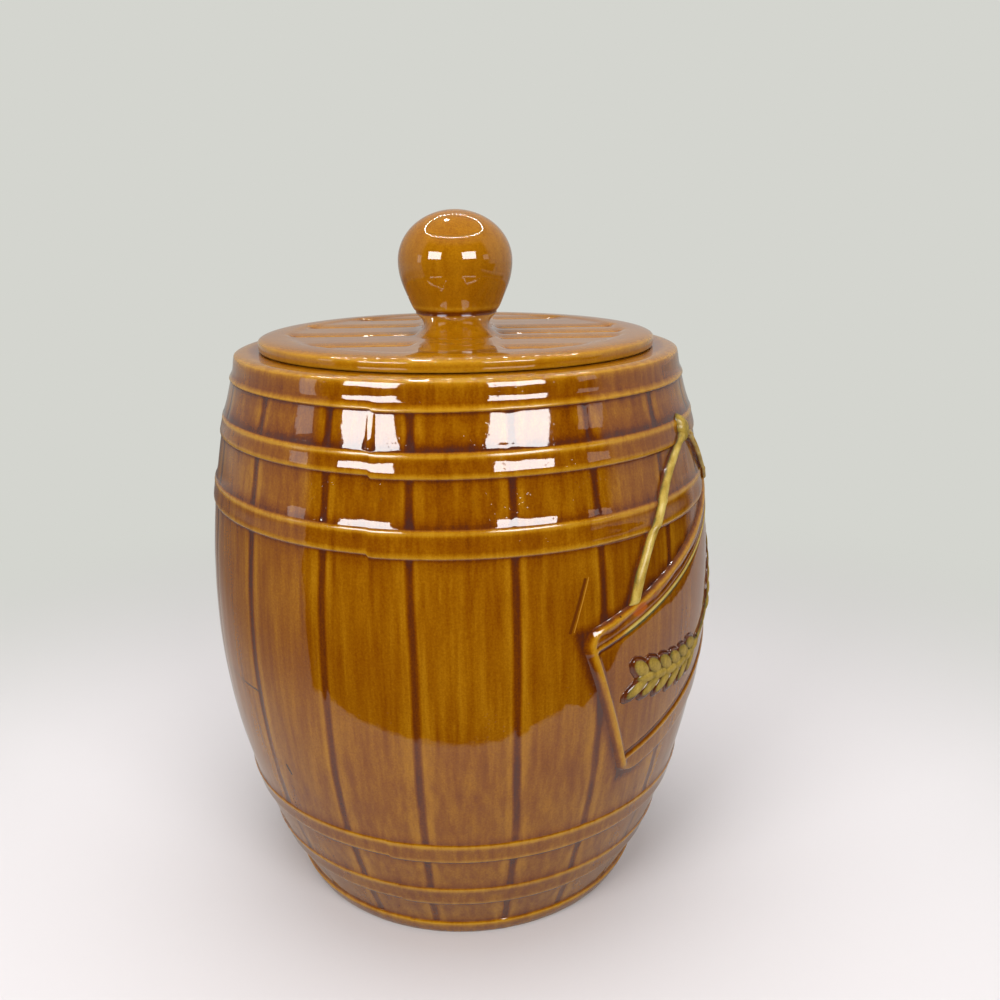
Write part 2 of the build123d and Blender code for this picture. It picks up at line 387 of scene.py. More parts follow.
@dataclass(frozen=True)
class GlazeStroke:
    """A short straight line of colour on the glaze, given on the barrel's outside; it draws
    defects, and the painted shade and painted highlight of an incised crack.
    """

    start: tuple[float, float]      # azimuth in degrees and height in millimetres
    end: tuple[float, float]
    half_width: float               # in millimetres
    colour: Colour
    radius: float = 92.0            # of the barrel there, in millimetres

    def share(self, tree: Tree, place: Value) -> Value:
        """How much a point of the surface belongs to the mark.

        Args:
            tree: Tree that it is grown in.
            place: Place on the object, in metres.

        Returns:
            1 on the mark, 0 beside it.
        """
        x, y, z = tree.split(place)
        around = tree.math("ARCTAN2", x, y * -1.0) * self.radius
        height = z / MM
        (x0, z0), (x1, z1) = [(math.radians(azimuth) * self.radius, at)
                              for azimuth, at in (self.start, self.end)]
        dx, dz = x1 - x0, z1 - z0
        along = ((around - x0) * dx + (height - z0) * dz) / (dx * dx + dz * dz)
        along = along.most(0.0).least(1.0)
        aside, up = around - x0 - along * dx, height - z0 - along * dz
        gap = (aside * aside + up * up).root()
        return gap.ease(self.half_width, self.half_width * 0.3)


@dataclass(frozen=True)
class GlazeFinish:
    """Glossy lead glaze whose colour follows its thickness, over an optional paint."""

    name: str
    shades: tuple[tuple[float, Colour], ...] = (
        (0.00, (168, 119, 20)), (0.20, (150, 98, 8)), (0.38, (131, 78, 2)),
        (0.50, (119, 65, 1)), (0.66, (101, 49, 2)), (0.82, (82, 36, 10)),
        (1.00, (64, 34, 27)))
    paint_shades: tuple[tuple[float, Colour], ...] = (
        (0.00, (190, 166, 88)), (0.35, (162, 134, 56)), (0.60, (124, 102, 40)),
        (0.80, (80, 74, 34)), (1.00, (44, 46, 28)))
    bias: float = -0.07             # of the thickness everywhere
    ember: Colour = (156, 78, 22)
    pit: Colour = (62, 32, 14)
    streak_width: float = 2.6 * MM
    streak_stretch: float = 18.0
    streak_strength: float = 0.75
    cloud_size: float = 30.0 * MM
    cloud_strength: float = 0.30
    speck_size: float = 0.65 * MM
    speck_strength: float = 0.42
    pit_spacing: float = 22.0 * MM
    pit_radius: float = 0.020       # share of the spacing
    hole_spacing: float = 1.6 * MM  # of the pinholes that come in patches
    hole_depth: float = 0.020 * MM
    hole_edge: tuple[float, float] = (0.22, 0.10)   # from its rim to its bottom, as a share
    hole_patch: float = 9.0 * MM
    patch_edge: tuple[float, float] = (0.53, 0.60)  # of the noise that the patches follow
    # lines of colour: defects, and the painted shade and painted highlight of an incised crack
    flaws_and_crack_light: tuple[GlazeStroke, ...] = ()
    wave_size: float = 7.0 * MM
    wave_height: float = 0.030 * MM
    dimple_size: float = 2.4 * MM
    dimple_height: float = 0.015 * MM
    ripple_size: float = 1.1 * MM
    ripple_height: float = 0.0016 * MM
    gloss: float = 0.035            # roughness of the clear surface
    under_gloss: float = 0.32       # roughness of the colour below it

    def material(self) -> Material:
        """Builds the finish as a material."""
        made, tree = new_material(self.name)
        place = tree.place()
        drawn = tree.vector("MULTIPLY", place, (1.0, 1.0, 1.0 / self.streak_stretch))
        streak = tree.noise(drawn, 1 / self.streak_width, 4.0, 0.62, 3.0)
        cloud = tree.noise(place, 1 / self.cloud_size, 2.0, 0.5, 7.0)
        speck = tree.noise(place, 1 / self.speck_size, 2.0, 0.6, 11.0)
        glaze, paint, ember = (tree.take("ShaderNodeAttribute", "Fac", attribute_name=mark.value)
                               for mark in Mark)
        thickness = (glaze * 0.5 + (0.5 + self.bias) + (streak - 0.5) * self.streak_strength
                     + (cloud - 0.5) * self.cloud_strength
                     + (speck - 0.5) * self.speck_strength)
        ragged = (streak + speck - 1.0) * 0.5
        colour = tree.mix((paint + ragged).ease(0.35, 0.65), tree.ramp(thickness, self.shades),
                          tree.ramp(thickness, self.paint_shades))
        covers = [((ember + ragged * 1.7).ease(0.3, 0.8), self.ember),
                  (tree.cells(place, self.pit_spacing)
                   .ease(self.pit_radius, self.pit_radius * 0.6), self.pit)]
        for share, over in covers + [(stroke.share(tree, place), stroke.colour)
                                     for stroke in self.flaws_and_crack_light]:
            colour = tree.mix(share, colour, linear(over))
        height = tree.noise(place, 1 / self.wave_size, 1.0, 0.45, 5.0) * self.wave_height
        for size, rise, seed in ((self.dimple_size, self.dimple_height, 6.0),
                                 (self.ripple_size, self.ripple_height, 9.0)):
            height = height + tree.noise(place, 1 / size, 1.0, 0.5, seed) * rise
        hole = tree.cells(place, self.hole_spacing).ease(*self.hole_edge)
        patch = tree.noise(place, 1 / self.hole_patch, 1.0, 0.5, 13.0).ease(*self.patch_edge)
        bump = tree.bump(height - hole * patch * self.hole_depth)
        dull, dry = paint.most(ember), (glaze * -1.0).ease(0.45, 0.85)
        tree.end(tree.take("ShaderNodeBsdfPrincipled", "BSDF", {
            "Base Color": colour, "Roughness": (cloud - 0.5) * 0.12 + self.under_gloss,
            "Specular IOR Level": 0.0, "Coat Weight": 1.0 - dull * 0.6,
            "Coat Roughness": dull * 0.20 + dry * 0.14 + self.gloss, "Coat IOR": 1.56,
            "Normal": bump, "Coat Normal": bump}))
        return made


@dataclass(frozen=True)
class BisqueFinish:
    """Bare fired clay, where the piece stood in the kiln."""

    name: str
    pale: Colour = (222, 202, 168)
    stained: Colour = (176, 140, 98)
    grain_size: float = 1.1 * MM
    grain_height: float = 0.03 * MM

    def material(self) -> Material:
        """Builds the finish as a material."""
        made, tree = new_material(self.name)
        grain = tree.noise(tree.place(), 1 / self.grain_size, 4.0, 0.6, 2.0)
        tree.end(tree.take("ShaderNodeBsdfPrincipled", "BSDF", {
            "Base Color": tree.ramp(grain, ((0.0, self.stained), (0.6, self.pale))),
            "Roughness": grain * 0.2 + 0.7, "Normal": tree.bump(grain * self.grain_height)}))
        return made


# ------------------------------------------------------------------ meshes
def add_object(name: str, data: bpy.types.ID) -> Object:
    """Puts a mesh, a lamp or a camera in the scene.

    Args:
        name: Name of the object.
        data: What it shows or holds.

    Returns:
        The object.
    """
    made = bpy.data.objects.new(name, data)
    bpy.context.scene.collection.objects.link(made)
    return made


def read(items: bpy.types.bpy_prop_collection, name: str, width: int = 1,
         kind: type = np.float32) -> Array:
    """What each item holds under a name, in rows where that is more than one number.

    Args:
        items: Points, edges, faces or stored values.
        name: What is read of each.
        width: How many numbers each item has.
        kind: Kind of number.

    Returns:
        The numbers.
    """
    values = np.zeros(len(items) * width, kind)
    items.foreach_get(name, values)
    return values.reshape(-1, width) if width > 1 else values


def points_of(mesh: Mesh) -> Array:
    """The mesh's points as XYZ rows, in millimetres."""
    return read(mesh.vertices, "co", 3).astype(float) / MM


def move_points(mesh: Mesh, points: Array) -> None:
    """Puts the mesh's points at XYZ rows given in millimetres."""
    mesh.vertices.foreach_set("co", (points * MM).astype(np.float32).ravel())
    mesh.update()


def face_outwards(mesh: Mesh) -> None:
    """Smooths a closed mesh, and turns its faces round if they point inwards.

    Args:
        mesh: The mesh, which changes.
    """
    mesh.calc_loop_triangles()
    corners = read(mesh.loop_triangles, "vertices", 3, np.int32)
    a, b, c = np.moveaxis(points_of(mesh)[corners], 1, 0)
    if np.einsum("ij,ij->i", a, np.cross(b, c)).sum() < 0:
        mesh.flip_normals()
    mesh.shade_smooth()


def closed_piece(name: str, points: Array, faces: list) -> Object:
    """Object with a smooth closed mesh whose faces point outwards.

    Args:
        name: Name of the piece.
        points: XYZ rows, in millimetres.
        faces: Numbers of each face's points.

    Returns:
        The object.
    """
    mesh = bpy.data.meshes.new(name)
    mesh.from_pydata((points * MM).tolist(), [], faces)
    face_outwards(mesh)
    return add_object(name, mesh)


def read_mark(mesh: Mesh, name: str) -> Array:
    """A stored float of every point."""
    return read(mesh.attributes[name].data, "value").astype(float)


def write_mark(mesh: Mesh, name: str, values: Array) -> None:
    """Stores a float on every point."""
    stored = mesh.attributes.get(name) or mesh.attributes.new(name, "FLOAT", "POINT")
    stored.data.foreach_set("value", values.astype(np.float32))


class Casting:
    """Rings of points, sewn one to the next into a closed mesh."""

    def __init__(self) -> None:
        """Starts with no points."""
        self.points: list[Array] = []
        self.marks: dict[str, list[Array]] = {}
        self.faces: list[tuple[int, ...]] = []
        self.bare_faces: set[int] = set()
        self.count = 0
        self.last: tuple[int, int] | None = None

    def ring(self, points: Array, bare: bool = False, **marks: object) -> None:
        """Adds a ring and sews it to the last one.

        Args:
            points: XYZ rows in order round the ring; a single row makes a pole.
            bare: Whether the faces that lead to this ring have no glaze.
            marks: Values to store on its points, one each or one for all.
        """
        points = np.atleast_2d(points)
        first, size = self.count, len(points)
        self.points.append(points)
        for name in set(self.marks) | set(marks):
            series = self.marks.setdefault(name, [np.zeros(first)] if first else [])
            series.append(np.broadcast_to(marks.get(name, 0.0), (size,)).astype(float))
        self.count += size
        if self.last is not None:
            before = len(self.faces)
            self._sew(self.last, (first, size))
            if bare:
                self.bare_faces.update(range(before, len(self.faces)))
        self.last = (first, size)

    def rings(self, azimuth: Array, rows: list[tuple], **marks: object) -> None:
        """Adds a ring for each row of radius, height and, where it has one, bareness."""
        for radius, height, *bare in rows:
            self.ring(turned(azimuth, radius, height), bare=any(bare), **marks)

    def pole(self, height: float, **marks: object) -> None:
        """Adds a point on the axis."""
        self.ring(np.array([0.0, 0.0, height]), **marks)

    def _sew(self, low: tuple[int, int], high: tuple[int, int]) -> None:
        """Faces between two rings, of which one may have a few times fewer points.

        Args:
            low: First point and size of one ring.
            high: The same of the ring above it.
        """
        (a, n), (b, m) = low, high
        if m > n:
            start = len(self.faces)
            self._sew(high, low)
            self.faces[start:] = [face[::-1] for face in self.faces[start:]]
            return
        if m == 1:
            self.faces += [(a + i, a + (i + 1) % n, b) for i in range(n)]
            return
        share = n // m
        for j in range(m):
            here, there = b + j, b + (j + 1) % m
            fine = [a + (j * share + i) % n for i in range(share + 1)]
            half = share // 2
            if share == 1:
                self.faces.append((fine[0], fine[1], there, here))
                continue
            self.faces += [(fine[i], fine[i + 1], here) for i in range(half)]
            self.faces.append((fine[half], fine[half + 1], there, here))
            self.faces += [(fine[i], fine[i + 1], there) for i in range(half + 1, share)]

    def piece(self, name: str) -> Object:
        """Makes the object, with its marks and its bare faces stored.

        Args:
            name: Name of the piece.

        Returns:
            The object.
        """
        piece = closed_piece(name, np.concatenate(self.points), self.faces)
        for mark, series in self.marks.items():
            write_mark(piece.data, mark, np.concatenate(series))
        bare = np.zeros(len(self.faces), np.int32)
        bare[list(self.bare_faces)] = 1
        piece.data.attributes.new(BARE, "INT", "FACE").data.foreach_set("value", bare)
        return piece


def lie_of_glaze(mesh: Mesh, reach: float, steps: int = 30) -> Array:
    """How far glaze that draws itself smooth would lie above the clay, in millimetres.

    Args:
        mesh: The closed clay body.
        reach: Distance over which the molten surface evens out, in millimetres.
        steps: Steps of the smoothing.

    Returns:
        Depth of glaze at every point, negative on a ridge.
    """
    clay = points_of(mesh)
    a, b = read(mesh.edges, "vertices", 2, np.int32).T
    pull = 1 / np.maximum(((clay[a] - clay[b])**2).sum(1), 1e-4)
    pull = pull * reach**2 / (2 * steps)
    size = len(clay)
    total = np.bincount(a, pull, size) + np.bincount(b, pull, size)
    level = clay.copy()
    for _ in range(steps):
        drawn = [np.bincount(a, pull * level[b, k], size)
                 + np.bincount(b, pull * level[a, k], size) for k in range(3)]
        level = (level + np.stack(drawn, 1)) / (1 + total)[:, None]
    return ((level - clay) * read(mesh.vertices, "normal", 3)).sum(1)


def settle_glaze(mesh: Mesh, fill: float = 0.5, ridge_reach: float = 0.65,
                 ridge_depth: float = 0.12, hollow_reach: float = 1.5,
                 hollow_depth: float = 0.42) -> Array:
    """Lays glaze on the clay: it pools in hollows and thins over ridges.

    Args:
        mesh: The closed clay body, whose points move to the glaze's surface.
        fill: Share of a hollow's depth that the glaze fills.
        ridge_reach: How near a ridge must turn to thin the glaze, in millimetres.
        ridge_depth: Lie at which the glaze on a ridge is at its thinnest.
        hollow_reach: How near a hollow must turn to hold glaze.
        hollow_depth: Lie at which a hollow is full.

    Returns:
        Value of every point, from -1 on a sharp ridge to 1 in a deep hollow.
    """
    thin = np.clip(lie_of_glaze(mesh, ridge_reach) / ridge_depth, -1, 0)
    lie = lie_of_glaze(mesh, hollow_reach)
    move_points(mesh, points_of(mesh)
                + read(mesh.vertices, "normal", 3) * (lie * fill)[:, None])
    return thin + np.clip(lie / hollow_depth, 0, 1) * (thin > -0.2)


class Piece:
    """What all pieces share: the body that they ride, their slot, how they are dressed."""

    body = "jar"
    slot = "amber_glaze"
    node: str | None = None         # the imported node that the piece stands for
    helpers: tuple[str, ...] = ()   # marks that only its making needs

    def settle(self, piece: Object, glaze: Material, bare: Material | None = None) -> Object:
        """Dresses a finished mesh and gives it to its body.

        Args:
            piece: The piece, still without its finish.
            glaze: Finish of its faces.
            bare: Finish of the faces that are marked as bare clay.

        Returns:
            The piece.
        """
        mesh = piece.data
        mesh.materials.clear()
        mesh.materials.append(glaze)
        marked = mesh.attributes.get(BARE)
        if bare is not None:
            mesh.materials.append(bare)
            mesh.polygons.foreach_set("material_index", read(marked.data, "value", 1, np.int32))
        if marked is not None:
            mesh.attributes.remove(marked)
        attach(piece, self.body)
        if self.node is not None:
            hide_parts(self.node)
        return piece

    def store_glaze(self, mesh: Mesh, outside: Array, settled: Array) -> None:
        """Stores a casting's glaze, which is plain inside, and drops its helpers.

        Args:
            mesh: The casting's mesh.
            outside: Thickness of the glaze on the outside.
            settled: How the glaze settled everywhere.
        """
        write_mark(mesh, Mark.GLAZE.value, np.where(
            read_mark(mesh, "outer") > 0, np.clip(outside, -1, 1), settled * 0.4 + 0.05))
        for name in self.helpers:
            mesh.attributes.remove(mesh.attributes[name])


# ------------------------------------------------------------------ the barrel's form
@dataclass(frozen=True)
class Hoop:
    """A raised band with two rounded edges and a shallow hollow between them."""

    low: float
    high: float
    rise: float = 0.85
    dish: float = 0.30
    edge: float = 1.25
    crest: float = 1.25             # from its upper edge down to its hollow
    ridge: float = 1.0              # from its upper edge down to its upper ridge
    lean: tuple[float, float] = (0.5, 0.9)      # powers of the hollow's two sides
    pool: float = 0.6               # how much glaze lies on its upper ledge
    pool_reach: float = 3.2         # how far up the staves that pool fades out

    def height(self, z: Array) -> Array:
        """Rise of the band above the staves at heights z.

        Args:
            z: Heights above the ground.

        Returns:
            Rise in millimetres.
        """
        middle, half = (self.low + self.high) / 2, (self.high - self.low) / 2
        inside = np.clip(half - np.abs(z - middle), 0, None)
        share = np.clip((self.high - self.crest - z)
                        / (self.high - self.low - self.crest - self.edge), 0, 1)
        down, up = self.lean
        deepest = down / (down + up)
        hollow = share**down * (1 - share)**up / (deepest**down * (1 - deepest)**up)
        pooled = 0.40 * self.pool * ease(z - self.high, self.pool_reach * 0.8, 0.0)
        return np.maximum(self.rise * round_over(inside / self.edge) - self.dish * hollow,
                          np.where(z > middle, pooled, 0.0))

    def glaze(self, z: Array) -> Array:
        """Thin glaze on the band's two ridges, the pool above it, and a line of painted shade
        just below it.

        Args:
            z: Heights above the ground.

        Returns:
            What they add to the glaze's thickness.
        """
        above, below = z - self.high, self.low - z
        ridges = (0.55 * hump(above, -self.ridge, 0.95 * math.sqrt(self.ridge))
                  + 0.50 * hump(below, -0.65, 0.55))
        pools = self.pool * (0.50 * ease(above, self.pool_reach, 0.8)
                             + 0.50 * ease(above, self.pool_reach * 0.5, 0.5))
        pools = pools * ease(above, -0.25, 0.2)
        # painted shade: a dark line on the staves just under the band's lower edge
        line = 0.5 * ease(below, 0.9, 0.35) * ease(below, -0.2, 0.05)
        inside = 0.10 * ease(above, -1.8, -2.6) * ease(below, -1.2, -1.9)
        return pools + line + inside - ridges

    def rows(self) -> list[float]:
        """Heights of the rings of points that show the band well."""
        foot = [self.low - gap for gap in (1.3, 0.6, 0.15)]
        edge = [self.low + share * self.edge for share in (0.02, 0.18, 0.45, 1.0)]
        inner = list(np.linspace(self.low + self.edge, self.high - self.edge, 7)[1:-1])
        top = [self.low + self.high - z for z in reversed(edge)]
        return foot + edge + inner + top + [self.high + gap for gap in
                                            (0.15, 0.5, 1.0, 1.7, 2.7, 3.9)]


@dataclass
class BarrelForm:
    """The barrel's skin: two arcs that meet upright at the belly, with its hoops."""

    belly_radius: float
    rim_height: float
    belly_height: float = 114.0
    rim_radius: float = 79.4
    foot_radius: float = 64.7
    head_hoop: float = 9.2
    head_gap: float = 11.5
    quarter_hoop: float = 7.6
    upper_gap: float = 15.0
    bilge_hoop: float = 8.6
    low_bilge_hoop: float = 8.2
    low_gap: float = 14.5
    low_quarter_hoop: float = 9.0
    foot_gap: float = 12.2
    foot_hoop: float = 7.3
    foot_rounding: float = 1.2
    rim_rounding: float = 1.2
    rim_run: float = 3.4            # how far in the rounding of the rim reaches

    def __post_init__(self) -> None:
        """Works out the arcs and the hoops from the sizes."""
        rise, run = self.rim_height - self.belly_height, self.belly_radius - self.rim_radius
        self.upper_arc = (rise**2 + run**2) / (2 * run)
        run = self.belly_radius - self.foot_radius
        self.lower_arc = (self.belly_height**2 + run**2) / (2 * run)
        low_quarter = self.foot_hoop + self.foot_gap
        low_bilge = low_quarter + self.low_quarter_hoop + self.low_gap
        quarter = self.rim_height - self.head_hoop - self.head_gap
        bilge = quarter - self.quarter_hoop - self.upper_gap
        self.hoops = [Hoop(-2.0, self.foot_hoop, rise=1.3, dish=0.0, pool=0.35),
                      Hoop(low_quarter, low_quarter + self.low_quarter_hoop, pool=0.45),
                      Hoop(low_bilge, low_bilge + self.low_bilge_hoop, pool=0.45),
                      Hoop(bilge - self.bilge_hoop, bilge, pool=0.7, pool_reach=4.4),
                      Hoop(quarter - self.quarter_hoop, quarter, pool=1.0, pool_reach=6.2),
                      Hoop(self.rim_height - self.head_hoop, self.rim_height + 2.0,
                           dish=0.70, edge=0.8, pool=0.0, crest=2.9, ridge=2.5,
                           lean=(1.8, 0.62))]

    def skin(self, z: Array, offset: Array | float = 0.0) -> Array:
        """Radius at heights z of the staves' skin, moved outwards by an offset.

        Args:
            z: Heights above the ground.
            offset: Distance outwards.

        Returns:
            The radius.
        """
        arc = np.where(z > self.belly_height, self.upper_arc, self.lower_arc)
        return self.belly_radius - arc + np.sqrt((arc + offset)**2
                                                 - (z - self.belly_height)**2)

    def hoop_height(self, z: Array) -> Array:
        """Rise of whatever hoop lies at heights z."""
        return sum(hoop.height(z) for hoop in self.hoops)

    def bare_staves(self, z: Array) -> Array:
        """1 where the staves show between the hoops, and 0 on a hoop.

        Args:
            z: Heights above the ground.

        Returns:
            The share.
        """
        shown = np.ones_like(z)
        for hoop in self.hoops:
            middle, half = (hoop.low + hoop.high) / 2, (hoop.high - hoop.low) / 2
            shown = shown * ease(np.abs(z - middle), half - 0.1, half + 0.5)
        return shown

    def glaze(self, z: Array) -> Array:
        """How much thicker or thinner the glaze lies because of the hoops, with painted shade
        under each hoop.
        """
        return sum(hoop.glaze(z) for hoop in self.hoops)


@dataclass
class SignForm:
    """Where the hanging sign lies: a tilted board wrapped on the barrel's skin."""

    barrel: BarrelForm
    azimuth: float = 64.6
    height: float = 117.0
    length: float = 113.0
    width: float = 61.0
    tilt: float = 21.0
    bow: float = 4.5                # of the lower edge
    sill_bow: float = 1.2           # of the line above the lower edge
    slant: float = 0.05             # how far the sides lean, for each millimetre up
    bulge: float = 0.025            # how much longer it is across its middle

    def __post_init__(self) -> None:
        """Works out the tilt's cosine and sine."""
        self.level, self.rise = (part(math.radians(self.tilt)) for part in
                                 (math.cos, math.sin))

    def sag(self, along: Array, across: Array) -> Array:
        """How far the board's lower part hangs below a straight one.

        Args:
            along: Places along the board.
            across: Places across the board.

        Returns:
            Millimetres down across the board.
        """
        share = np.clip(1 - (2 * along / self.length)**2, 0, 1)
        return share * (self.sill_bow * ease(across, 8.0, -22.0)
                        + (self.bow - self.sill_bow) * ease(across, -22.0, -31.0))

    def stretch(self, across: Array) -> Array:
        """How many times longer the board is at a place across it."""
        return 1 + self.bulge * np.clip(1 - (2 * across / self.width)**2, 0, 1)

    def flatten(self, azimuth: Array, z: Array) -> tuple[Array, Array]:
        """Sideways and upward place, in the plane that faces the sign, of skin points.

        Args:
            azimuth: Degrees from the front.
            z: Heights above the ground.

        Returns:
            Places aside and up, far aside behind the barrel.
        """
        turn = np.radians(azimuth - self.azimuth)
        aside = np.where(np.cos(turn) > 0, self.barrel.skin(z) * np.sin(turn), 1e3)
        return aside, z - self.height

    def to_board(self, aside: Array, up: Array) -> tuple[Array, Array]:
        """Place along and across the tilted board, as if its lower edge were straight.

        Args:
            aside: Sideways places in the plane that faces the sign.
            up: Upward places in that plane.

        Returns:
            Places along and across.
        """
        along = aside * self.level + up * self.rise
        across = up * self.level - aside * self.rise
        along = (along - self.slant * across) / self.stretch(across)
        return along, across + self.sag(along, across)

    def from_board(self, along: Array, across: Array) -> tuple:
        """Place in the plane that faces the sign.

        Args:
            along: Places along the board.
            across: Places across the board.

        Returns:
            Places aside and up.
        """
        across = across - self.sag(along, across)
        along = along * self.stretch(across) + self.slant * across
        return (along * self.level - across * self.rise,
                along * self.rise + across * self.level)

    def wrap(self, aside: Array, up: Array, offset: Array) -> Array:
        """XYZ rows of points that stand off the skin by an offset.

        Args:
            aside: Sideways places in the plane that faces the sign.
            up: Upward places in that plane.
            offset: Distance outwards from the skin.

        Returns:
            XYZ rows.
        """
        z = self.height + up
        radius = self.barrel.skin(z, offset)
        azimuth = self.azimuth + np.degrees(np.arcsin(np.clip(aside / radius, -1, 1)))
        return turned(azimuth, radius, z)

    def outside(self, aside: Array, up: Array) -> Array:
        """Distance from the board's edge, negative on the board.

        Args:
            aside: Sideways places in the plane that faces the sign.
            up: Upward places in that plane.

        Returns:
            The distance.
        """
        along, across = self.to_board(aside, up)
        x, y = np.abs(along) - self.length / 2, np.abs(across) - self.width / 2
        return np.hypot(np.maximum(x, 0), np.maximum(y, 0)) + np.minimum(np.maximum(x, y), 0)


def near_line(aside: Array, up: Array, line: Array | tuple) -> Array:
    """Distance of points from a line through several points in their plane.

    Args:
        aside: Sideways places in the plane that faces the sign.
        up: Upward places in that plane.
        line: The line's points, aside and up.

    Returns:
        The distances.
    """
    nearest = np.full(np.shape(aside), 1e3)
    for (x0, y0), (x1, y1) in zip(line, line[1:]):
        dx, dy = x1 - x0, y1 - y0
        share = np.clip(((aside - x0) * dx + (up - y0) * dy) / (dx * dx + dy * dy), 0, 1)
        nearest = np.minimum(nearest, np.hypot(aside - x0 - share * dx, up - y0 - share * dy))
    return nearest


# ------------------------------------------------------------------ the jar
@dataclass
class Jar(Piece):
    """The jar's casting: staves and hoops outside, a plain hollow inside."""

    barrel: BarrelForm
    sign: SignForm
    ropes: list[Array]
    stave_count: int = 18
    front_joint: float = -48.2
    front_staves: int = 5
    front_pitch: float = 19.3
    strays: tuple[float, ...] = (0.0, 0.7, -0.2, 0.5, -1.1)     # of the front joints
    joint_width: float = 2.9
    joint_depth: float = 0.08
    joint_columns: tuple[float, ...] = (-1.9, -1.35, -0.9, -0.45, 0.0, 0.45, 0.9, 1.35, 1.9)
    stave_columns: int = 21
    thinning: int = 4               # columns outside for each one inside
    stave_row: float = 3.3          # between the rings of points
    foot_rows: tuple[float, ...] = (0.25, 0.7, 1.3, 2.6, 4.4, 5.7, 6.4, 6.9, 7.25, 7.5, 8.1, 9.6)
    wall: float = 7.0
    floor_top: float = 9.5
    floor_corner: float = 10.0
    mouth_radius: float = 63.0
    mouth_rounding: float = 1.5
    lip_land: float = 8.0
    lip_slope: float = 14.0
    foot_recess: float = 2.5
    foot_ring: float = 7.0
    seam_azimuth: float = -18.5     # where the two halves of the mould met
    seam_step: float = 1.0
    seam_columns: tuple[float, ...] = (-2.0, -1.25, -0.75, -0.25, 0.25, 0.75, 1.25, 2.0)
    node = "jar_body"
    helpers = ("from_joint", "from_seam", "staves", "stave", "outer", "row_height")

    def joints(self) -> Array:
        """Azimuths of the joints between staves, and of the first one again."""
        front = self.front_joint + self.front_pitch * np.arange(self.front_staves)
        front = front + np.array(self.strays)
        rest = self.stave_count - self.front_staves
        start = self.front_joint + self.front_pitch * self.front_staves
        step = (360 - self.front_pitch * self.front_staves) / rest
        return np.concatenate([front, start + step * np.arange(rest + 1)])

    def columns(self) -> tuple[Array, Array, Array]:
        """Azimuth of each column, of its nearest joint, and the number of its stave."""
        joints = self.joints()
        marks = np.degrees(np.array(self.joint_columns) / self.barrel.belly_radius)
        azimuths, nearest, staves = [], [], []
        for stave, (left, right) in enumerate(zip(joints, joints[1:])):
            between = np.linspace(left + marks[-1], right + marks[0], self.stave_columns + 2)
            row = np.concatenate([left + marks, between[1:-1]])
            azimuths.append(row)
            nearest.append(np.where(row < (left + right) / 2, left, right))
            staves.append(np.full(len(row), stave))
        azimuth, nearest, stave = (np.concatenate(part) for part in
                                   (azimuths, nearest, staves))
        for seam in (self.seam_azimuth, self.seam_azimuth + 180):
            close = np.sort(np.argsort(np.abs(azimuth - seam))[:len(self.seam_columns)])
            azimuth[close] = seam + np.array(self.seam_columns)
        return azimuth, nearest, stave

    def rows(self) -> Array:
        """Heights of the rings of points outside, close together at the hoops."""
        heights, head = list(self.foot_rows), self.barrel.hoops[-1]
        for rows in [*(hoop.rows() for hoop in self.barrel.hoops[1:-1]), head.rows()[:7]]:
            steps = max(1, round((rows[0] - heights[-1]) / self.stave_row))
            heights += list(np.linspace(heights[-1], rows[0], steps + 1)[1:-1]) + rows
        top = self.barrel.rim_height - self.barrel.rim_rounding
        return np.array(heights + list(np.linspace(head.low + 2.3, top - 0.2, 9)))

    def past_seam(self, azimuth: Array) -> Array:
        """Degrees from the front seam, from -90 up to 270 at the back."""
        return np.mod(azimuth - self.seam_azimuth + 90, 360) - 90

    def drift(self, azimuth: Array, z: Array) -> Array:
        """How far the hand-cut hoops stray up or down, with a step at the mould's seams.

        Args:
            azimuth: Degrees from the front.
            z: Heights above the ground.

        Returns:
            Millimetres upwards.
        """
        turn = np.radians(azimuth)
        sway = 0.20 * np.sin(2 * turn + 1 + z / 40) + 0.12 * np.sin(5 * turn - z / 31)
        past = self.past_seam(azimuth)
        side = ease(past, -0.3, 0.3) - ease(past, 179.7, 180.3)
        knots = [(0.0, 0.0)]
        for hoop in self.barrel.hoops[1:-1]:
            knots += [(hoop.low, 1.0), (hoop.high, 0.25)]
        knots += [(self.barrel.hoops[-1].low, 0.7), (self.barrel.rim_height - 3, 0.0)]
        share = np.interp(z, *zip(*knots))
        free = ease(z, 6, 16) * ease(z, self.barrel.rim_height - 3, self.barrel.rim_height - 9)
        return sway * free + self.seam_step * (0.5 - side) * share

    def wander(self, z: Array, stave: Array) -> Array:
        """How far a joint strays sideways, in degrees."""
        return 0.28 * np.sin(z / 29 + stave * 2.3) + 0.12 * np.sin(z / 11 + stave * 5.1)

    def from_seam(self, azimuth: Array) -> Array:
        """Radians to the nearer of the mould's two seams."""
        past = self.past_seam(azimuth)
        return np.radians(np.minimum(np.abs(past), np.abs(past - 180)))

    def carve_rows(self, casting: Casting) -> None:
        """Adds the outside of the barrel, ring by ring, with what the recipe reads.

        Args:
            casting: Casting that the rings are added to.
        """
        azimuth, nearest, stave = self.columns()
        for z in self.rows():
            heights = np.full_like(azimuth, z)
            aside, up = self.sign.flatten(azimuth, heights)
            free = ease(self.sign.outside(aside, up), -2.4, -0.8)
            rise = self.barrel.hoop_height(heights)
            if z < self.barrel.foot_rounding:
                rise = rise * math.sqrt(1 - (1 - z / self.barrel.foot_rounding)**2)
            real = z + self.drift(azimuth, heights)
            straying = azimuth + self.wander(heights, stave)
            radius = self.barrel.skin(real, rise * free)
            casting.ring(turned(straying, radius, real),
                         from_joint=np.radians(azimuth - nearest) * radius,
                         from_seam=self.from_seam(azimuth) * radius,
                         staves=self.barrel.bare_staves(heights) * free,
                         stave=stave, outer=1.0, row_height=z)

